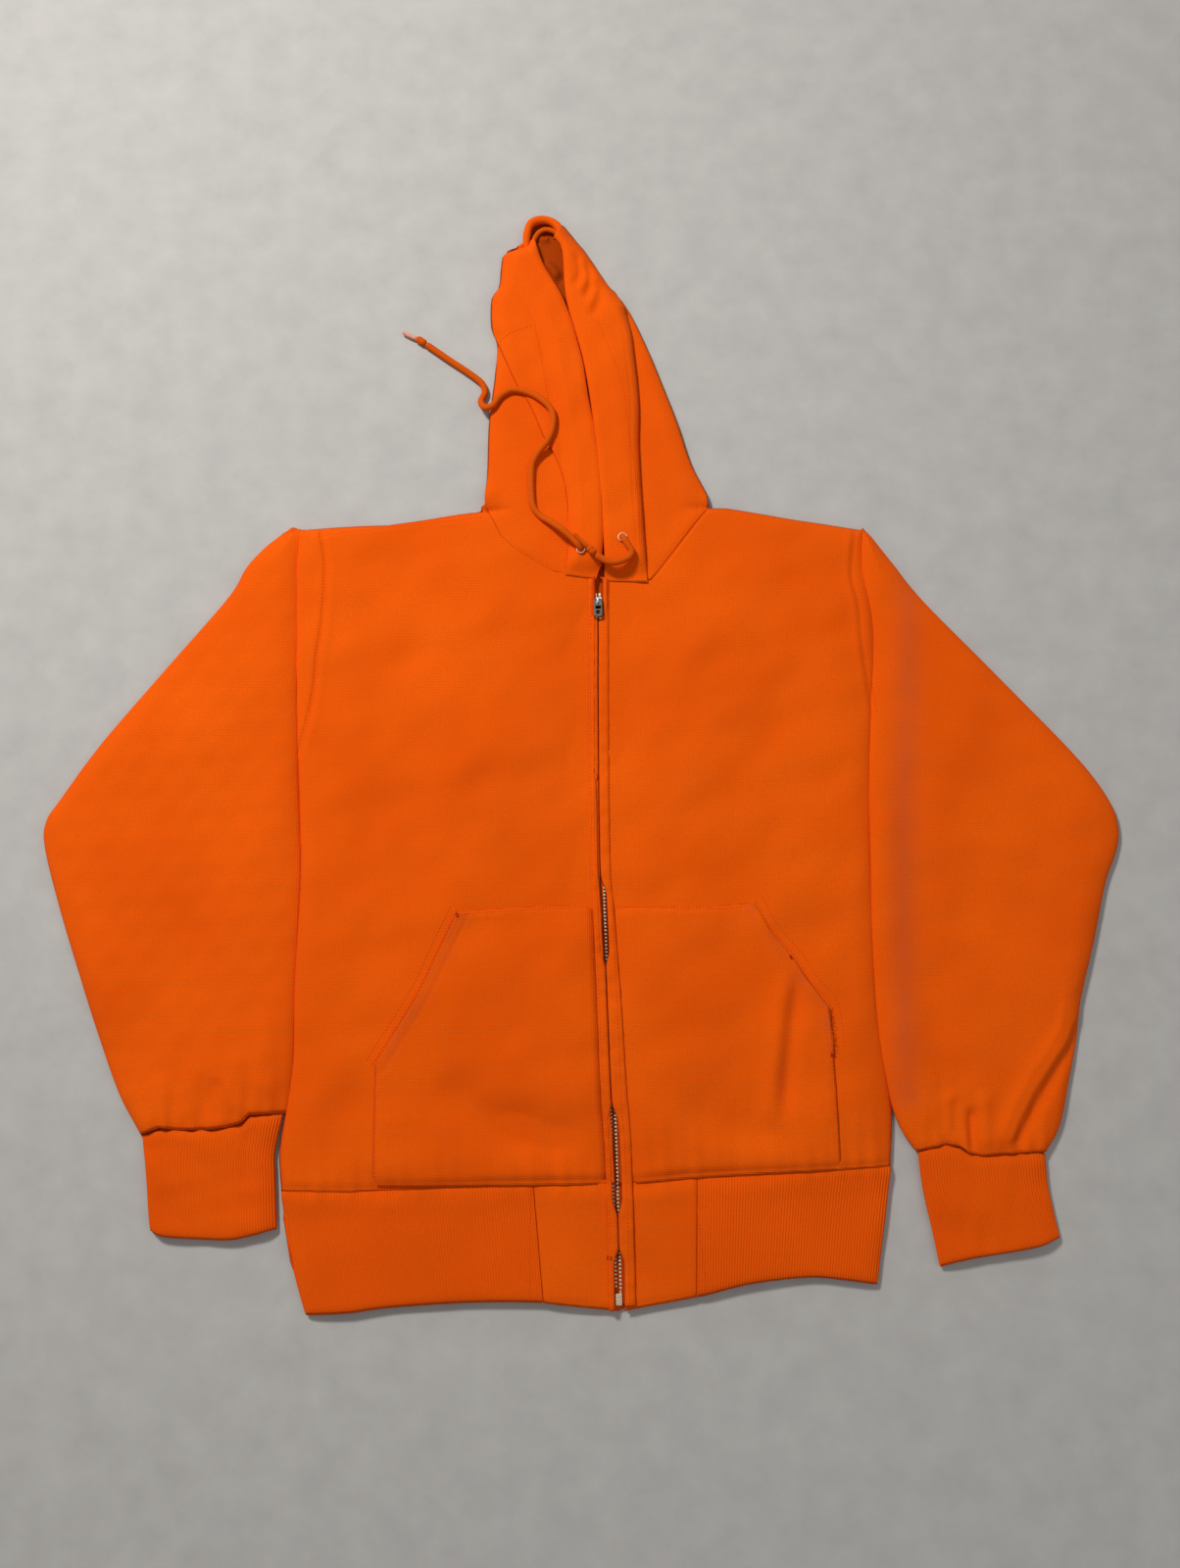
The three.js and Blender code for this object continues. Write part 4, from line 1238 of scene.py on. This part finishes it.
# the length inside the tunnels follows the hems from below
RUN = [(2, 176), (2, 190), (0, 235), (-7, 290), (-17, 359), (-36, 425), (-49, 474), (-47, 488), (-40, 496),
       (-31, 496), (-20, 488), (-17, 474), (-4, 425), (15, 359), (25, 290), (32, 235), (34, 190)]
run_xy = spline(RUN, 160)
heights = np.array([drop(hems, x, y, 13.0) for x, y in run_xy])
for _ in range(40):
    heights[1:-1] = np.minimum(heights[1:-1], (heights[:-2] + heights[2:]) / 2)
run_path = np.column_stack([run_xy, np.clip(heights - 5.6, 4.2, 15)])
hidden_run, _ = braided("drawcord_channel_run_braid", run_path.tolist(), 5.0, 16, 2.0)
placed(hidden_run, "torso", "drawcord", "drawcord_channel_run")


# ---- eyelets ---------------------------------------------------------------------------------
def eyelet(name, where, node_name):
    """Pressed ring with a rolled rim, sunk in the hem."""
    x, y = where
    z = 20.2
    profile = [(3.12, -1.8), (3.05, -0.6), (3.1, 0.2), (3.3, 0.65), (3.62, 0.86), (3.95, 0.82), (4.2, 0.55),
               (4.3, 0.1), (4.28, -0.8), (4.1, -1.5), (3.8, -1.8)]
    n = 44
    a = np.linspace(0, 2 * math.pi, n, endpoint=False)
    verts = np.array([[x + r * math.cos(t), y + r * math.sin(t), z + h] for t in a for r, h in profile])
    m = len(profile)
    faces = []
    for i, j in np.ndindex(n, m):
        here, there, k = i * m, (i + 1) % n * m, (j + 1) % m
        faces.append([here + j, there + j, there + k, here + k])
    return placed(mesh_object(name, verts, faces, BRASS), "torso", "eyelet", node_name)


eyelet("right_eyelet_ring", EYELETS["right"], "right_eyelet")
eyelet("left_eyelet_ring", EYELETS["left"], "left_eyelet")

# ---- zip: tapes, teeth, stops, box and pin ------------------------------------------------------
TOOTH_LOW, TOOTH_HIGH, PITCH, TEETH = 4.6, 6.6, 3.2, 192


def tooth(side):
    """One pressed tooth round the tape's cord: broad root, narrow waist, rounded head."""
    outline = [(3.0, 0.95), (2.1, 0.95), (1.5, 0.62), (0.85, 0.72), (0.85, -0.72), (1.5, -0.62),
               (2.1, -0.95), (3.0, -0.95)]
    return flat_part([(side * x, y) for x, y in rounded(outline, 0.2, 1)], TOOTH_LOW, TOOTH_HIGH, 0.22)


def teeth(name, side, node_name):
    base, faces = tooth(side)
    rng = np.random.default_rng(7 + side)
    parts = []
    for i in range(TEETH):
        y = -3.2 - (PITCH / 2 if side > 0 else 0) - i * PITCH
        a = rng.uniform(-0.03, 0.03)
        v = base.copy()
        v[:, 0], v[:, 1] = base[:, 0] - a * base[:, 1], base[:, 1] + a * base[:, 0] + y
        parts.append((v, faces))
    return chain_object(name, parts, BRASS, node_name)


teeth("right_zip_teeth_row", -1, "right_zip_teeth")
teeth("left_zip_teeth_row", 1, "left_zip_teeth")


def tape(name, side):
    """Woven tape with a cord along its inner edge, which the teeth grip."""
    y = np.linspace(13.5, -629.5, 420)
    profile = [(2.55, 5.95), (2.35, 6.25), (2.6, 6.5), (2.95, 6.45), (3.2, 6.2), (3.5, 6.0), (6, 6.02),
               (9, 5.98), (15.2, 6.0)]
    grid = np.array([[(side * x, v, z) for v in y] for x, z in profile])
    grid[..., 2] += 0.05 * np.sin(grid[..., 1] * 1.3)
    grid = on_chain(grid.reshape(-1, 3)).reshape(grid.shape)
    return shell(name, grid, 0.6, TAPE, flip=side > 0)


right_tape, left_tape = both(tape, "{}_zip_tape_woven", "zip_tape", "{}_zip_tape")
for name, side in (("right", -1), ("left", 1)):
    stop = plate(side * 0.8, 0.3, side * 3, 3.6, 0.6)
    chain_object(f"{name}_top_stop_crimped", [flat_part(stop, 4.6, 7.8, 0.35)], BRASS, f"{name}_top_stop")
box_ring = plate(-3, -630, 3, -620.5, 0.8)
ribs = [flat_part(plate(-2.4, y - 0.5, 0.6, y + 0.5, 0.3), 7.0, 7.8, 0.2) for y in (-628, -625.5, -623)]
chain_object("zip_box_pressed", [flat_part(box_ring, 3.6, 7.5, 0.4)] + ribs, BRASS, "zip_box")
pin_ring = plate(1.2, -628, 2.7, -617.9, 0.5)
chain_object("zip_pin_round", [flat_part(pin_ring, 4.9, 6.3, 0.5)], NICKEL, "zip_pin")

# ---- slider and pull --------------------------------------------------------------------------
plate_ring = rounded([(-3.4, 0), (3.4, 0), (4, -1.5), (4, -8), (3.5, -11), (-3.5, -11), (-4, -8),
                      (-4, -1.5)], 1.0)


def upright(verts):
    """Turns a plate drawn in (y, z) to stand along the chain, 2 mm thick about x = 0."""
    return np.column_stack([verts[:, 2], verts[:, 0], verts[:, 1]])


arch = [(-8.4, 7.2), (-8.4, 12), (-7.4, 14.5), (-6.2, 15.35), (-3.8, 15.35), (-2.6, 14.5), (-1.6, 12),
        (-1.6, 7.2)]
slider_parts = [
    flat_part(plate_ring, 3.25, 4.3, 0.35), flat_part(plate_ring, 6.9, 8.0, 0.4),
    flat_part(plate(-0.5, -3.2, 0.5, -1.2, 0.2), 4.0, 7.2, 0.15),
    flat_part(rounded(arch, 0.7), -1.0, 1.0, 0.35, [plate(-6.2, 11.6, -3.8, 14.3, 0.6)], upright),
]
for side in (-1, 1):
    wall = plate(side * 3.3, -8, side * 3.95, -1.5, 0.2)
    slider_parts += [flat_part(wall, 4.0, 4.9, 0.15), flat_part(wall, 6.3, 7.2, 0.15)]
chain_object("zip_slider_cast", slider_parts, NICKEL, "zip_slider", "slider", "zip_slider")

tab = rounded([(-3.4, -3.6), (3.4, -3.6), (4, -4.4), (4, -19.6), (2.6, -21), (-2.6, -21), (-4, -19.6),
               (-4, -4.4)], 1.2)
bar = tube([(x, -5, 13.2) for x in (-3.2, -1.5, 0, 1.5, 3.2)], 0.74, 20)
pull_parts = [
    flat_part(tab, 12.45, 13.95, 0.4, [plate(-1.5, -9, 1.5, -4.4, 0.5), plate(-1.9, -18, 1.9, -15, 0.9)]),
    flat_part(plate(-2.7, -13.6, 2.7, -10.4, 0.8), 13.6, 13.95, 0.15), bar,
]
chain_object("zip_pull_tab", pull_parts, GUN, "zip_pull", "pull", "zip_pull")


# ---- stitching ---------------------------------------------------------------------------------
def stitch_row(points, pitch=3.3, long=2.5, wide=0.62):
    """Thread stitches lying on the cloth along a line."""
    line = spline(points, 400)
    total = length_of(line)
    line = even(line, max(2, int(total / pitch)))
    ahead = np.gradient(line, axis=0)
    ahead /= np.maximum(np.linalg.norm(ahead, axis=1, keepdims=True), 1e-9)
    out = []
    for (x, y), (ax, ay) in zip(line, ahead):
        half, quarter = (ax * long / 2, ay * long / 2), (ax * long / 4, ay * long / 4)
        a, b = (x - half[0], y - half[1]), (x + half[0], y + half[1])
        za, zb, zm = drop(surface, *a), drop(surface, *b), drop(surface, x, y)
        if min(za, zb, zm) < 1 or abs(za - zb) > 2.5 or abs(zm - (za + zb) / 2) > 1.5:
            continue
        path = [[*a, za - 0.25], [x - quarter[0], y - quarter[1], (za + zm) / 2 + 0.12], [x, y, zm + 0.18],
                [x + quarter[0], y + quarter[1], (zb + zm) / 2 + 0.12], [*b, zb - 0.25]]
        out.append(tube(path, np.array([0.5, 0.9, 1.0, 0.9, 0.5])[:, None] * wide / 2, 6))
    return out


def beside(line, shift):
    """A line moved sideways."""
    p = np.asarray(line, float)
    t = np.gradient(p, axis=0)
    t /= np.linalg.norm(t, axis=1, keepdims=True)
    return p + np.stack([-t[:, 1], t[:, 0]], 1) * shift


def slit_side(out, top, low):
    """Line beside the zip, so far from its middle."""
    y = np.linspace(top, low, 90)
    return np.stack([slit_x(y) + out, y], 1)


right_hand = [(-110, -172), (-126, -206), (-146, -249), (-181, -306)]
left_hand = [(154, -164), (168, -189), (188, -213), (200, -233), (218, -256), (221, -290)]
ROWS = [
    slit_side(-7.2, 132, -508), slit_side(8.4, 96, -508),
    beside(ARMHOLE_R, -3.2), beside(ARMHOLE_L, 3.2), beside(SHOULDER_SEAM, 3.0),
    beside(right_hand, -2.4), beside(right_hand, -9.0), beside(left_hand, 2.4), beside(left_hand, 9.0),
    [(-181, -309), (-179.5, -350), (-179, -404)], [(219, -293), (221, -340), (223, -390)],
    [(-108, -174.2), (-60, -170.4), (4, -167.4)], [(32, -167.4), (115, -169.2), (152, -166.6)],
    [(-46, 393), (-36, 336), (-27, 281), (-16, 228), (-13, 177), (-14, 150)],
    [(15, 393), (37, 331), (44, 281), (52, 215), (54, 151)],
    [(-44, -409), (-44.5, -455), (-44, -503)], [(97, -404), (102, -450), (107, -497)],
    [(-82, 376), (-70, 384), (-50, 392)],
]
stitches = []
for row in ROWS:
    stitches += stitch_row(row)
placed(solid_object("body_stitches", stitches, THREAD), "torso", "fleece_body")

# bartacks: short dense rows across the ends of the openings
# each: its place, its heading and its number of stitches
TACKS = [((24, -468), (0.1, 1), 5), ((187, -212), (0.6, -0.8), 6), ((-111, -175), (1, 0), 4),
         ((220, -297), (0, 1), 6)]
tacks = []
for (x, y), (ax, ay), rows in TACKS:
    for k in range(rows):
        f = (k - rows / 2) * 0.7
        ends = [(x - ay * 1.2 + ax * f, y + ax * 1.2 + ay * f),
                (x + ay * 1.2 + ax * f, y - ax * 1.2 + ay * f)]
        tacks += stitch_row(ends, 2.4, 2.4, 0.6)
RED_THREAD = rib_material("bartack_mat", (0.45, 0.03, 0.004))
placed(solid_object("bartacks", tacks, RED_THREAD), "torso", "fleece_pocket")

# frayed edge at the wearer's left pocket
fray = []
rng = np.random.default_rng(5)
for k in range(46):
    x0, y0 = 219.5 + rng.uniform(-1.2, 1.2), rng.uniform(-298, -258)
    z0 = drop(surface, x0, y0)
    a, reach = rng.uniform(-0.9, 0.9), rng.uniform(1.5, 4.0)
    cos, sin, near = math.cos(a), math.sin(a), reach * 0.4
    tip = [x0 + reach * cos, y0 + reach * sin + rng.uniform(-1, 1), z0 + rng.uniform(-0.2, 0.6)]
    path = [[x0, y0, z0 - 0.2], [x0 + near * cos, y0 + near * sin, z0 + 0.5], tip]
    fray.append(tube(path, 0.16, 5))
placed(solid_object("frayed_threads", fray, THREAD), "torso", "fleece_pocket")

for prefix, body, rows in (
    ("right", "right_sleeve_body", [[(-383, -363), (-367, -357), (-351, -359), (-320, -358), (-307, -356),
                                     (-294, -352)]]),
    ("left", "left_sleeve_body", [[(296, -377), (318, -371), (337, -378), (348, -381), (375, -379),
                                   (402, -377)],
                                  [(429, -290), (421, -328), (409, -371)]]),
):
    found = []
    for row in rows:
        found += stitch_row(row)
    placed(solid_object(f"{prefix}_sleeve_stitches", found, THREAD), body, "fleece_sleeve")


# ---- the stain down the wearer's left sleeve, and painted shade along the pocket openings -----
def worn(obj, amount):
    """Per-vertex share of the stain colour, as a function of the place: a real stain, and painted shade."""
    co = np.empty(len(obj.data.vertices) * 3)
    obj.data.vertices.foreach_get("co", co)
    xyz = co.reshape(-1, 3) * 1000 - CENTRE
    layer_data = obj.data.attributes.new("worn", "FLOAT", "POINT")
    layer_data.data.foreach_set("value", np.clip(amount(xyz), 0, 1).astype(np.float32))


def sleeve_stain(p):
    d = gap(p[:, :2], spline([(303, 138), (300, 40), (290, -120), (284, -334)], 40))
    patchy = 0.5 + 0.5 * waves(p[:, :2], 40, 111)
    return 0.32 * bell(d, 12) * (0.75 + 0.25 * np.clip(patchy, 0, 1)) * (p[:, 2] > 5)


# painted shade: the pockets darkened along their hand openings, where the raised free edge shades the cloth
def hand_wear(p):
    d = gap(p[:, :2], even(left_hand if p[:, 0].mean() > 0 else right_hand, 20))
    return 0.22 * bell(d, 9) * (0.6 + 0.4 * waves(p[:, :2], 25, 112))


worn(left_sleeve, sleeve_stain)
worn(right_pocket, hand_wear)
worn(left_pocket, hand_wear)

# ---- each cord end's path put in metres, with its knot and tip as a list; neither is kept ------
for cord, path, pieces in ((long_cord, long_path, [long_knot, long_tip]),
                           (short_cord, short_path, [short_knot, short_tip])):
    line = put(path)
    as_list(pieces)

# ---- floor --------------------------------------------------------------------------------------
floor_mat, t, s = material("floor_mat", (0.5, 0.49, 0.47), 0.9)
pos = node(t, "ShaderNodeTexCoord").outputs["Object"]
patches = ramp(t, noise(t, pos, 30, 5, 0.6), 0.3, 0.7)
t.links.new(mix(t, patches, (0.46, 0.45, 0.435), (0.52, 0.51, 0.49)), s.inputs["Base Color"])
FAR, BELOW = 6000, -0.02
corners = [(-FAR, -FAR, BELOW), (FAR, -FAR, BELOW), (FAR, FAR, BELOW), (-FAR, FAR, BELOW)]
floor = mesh_object("floor", corners, [[0, 1, 2, 3]], floor_mat)
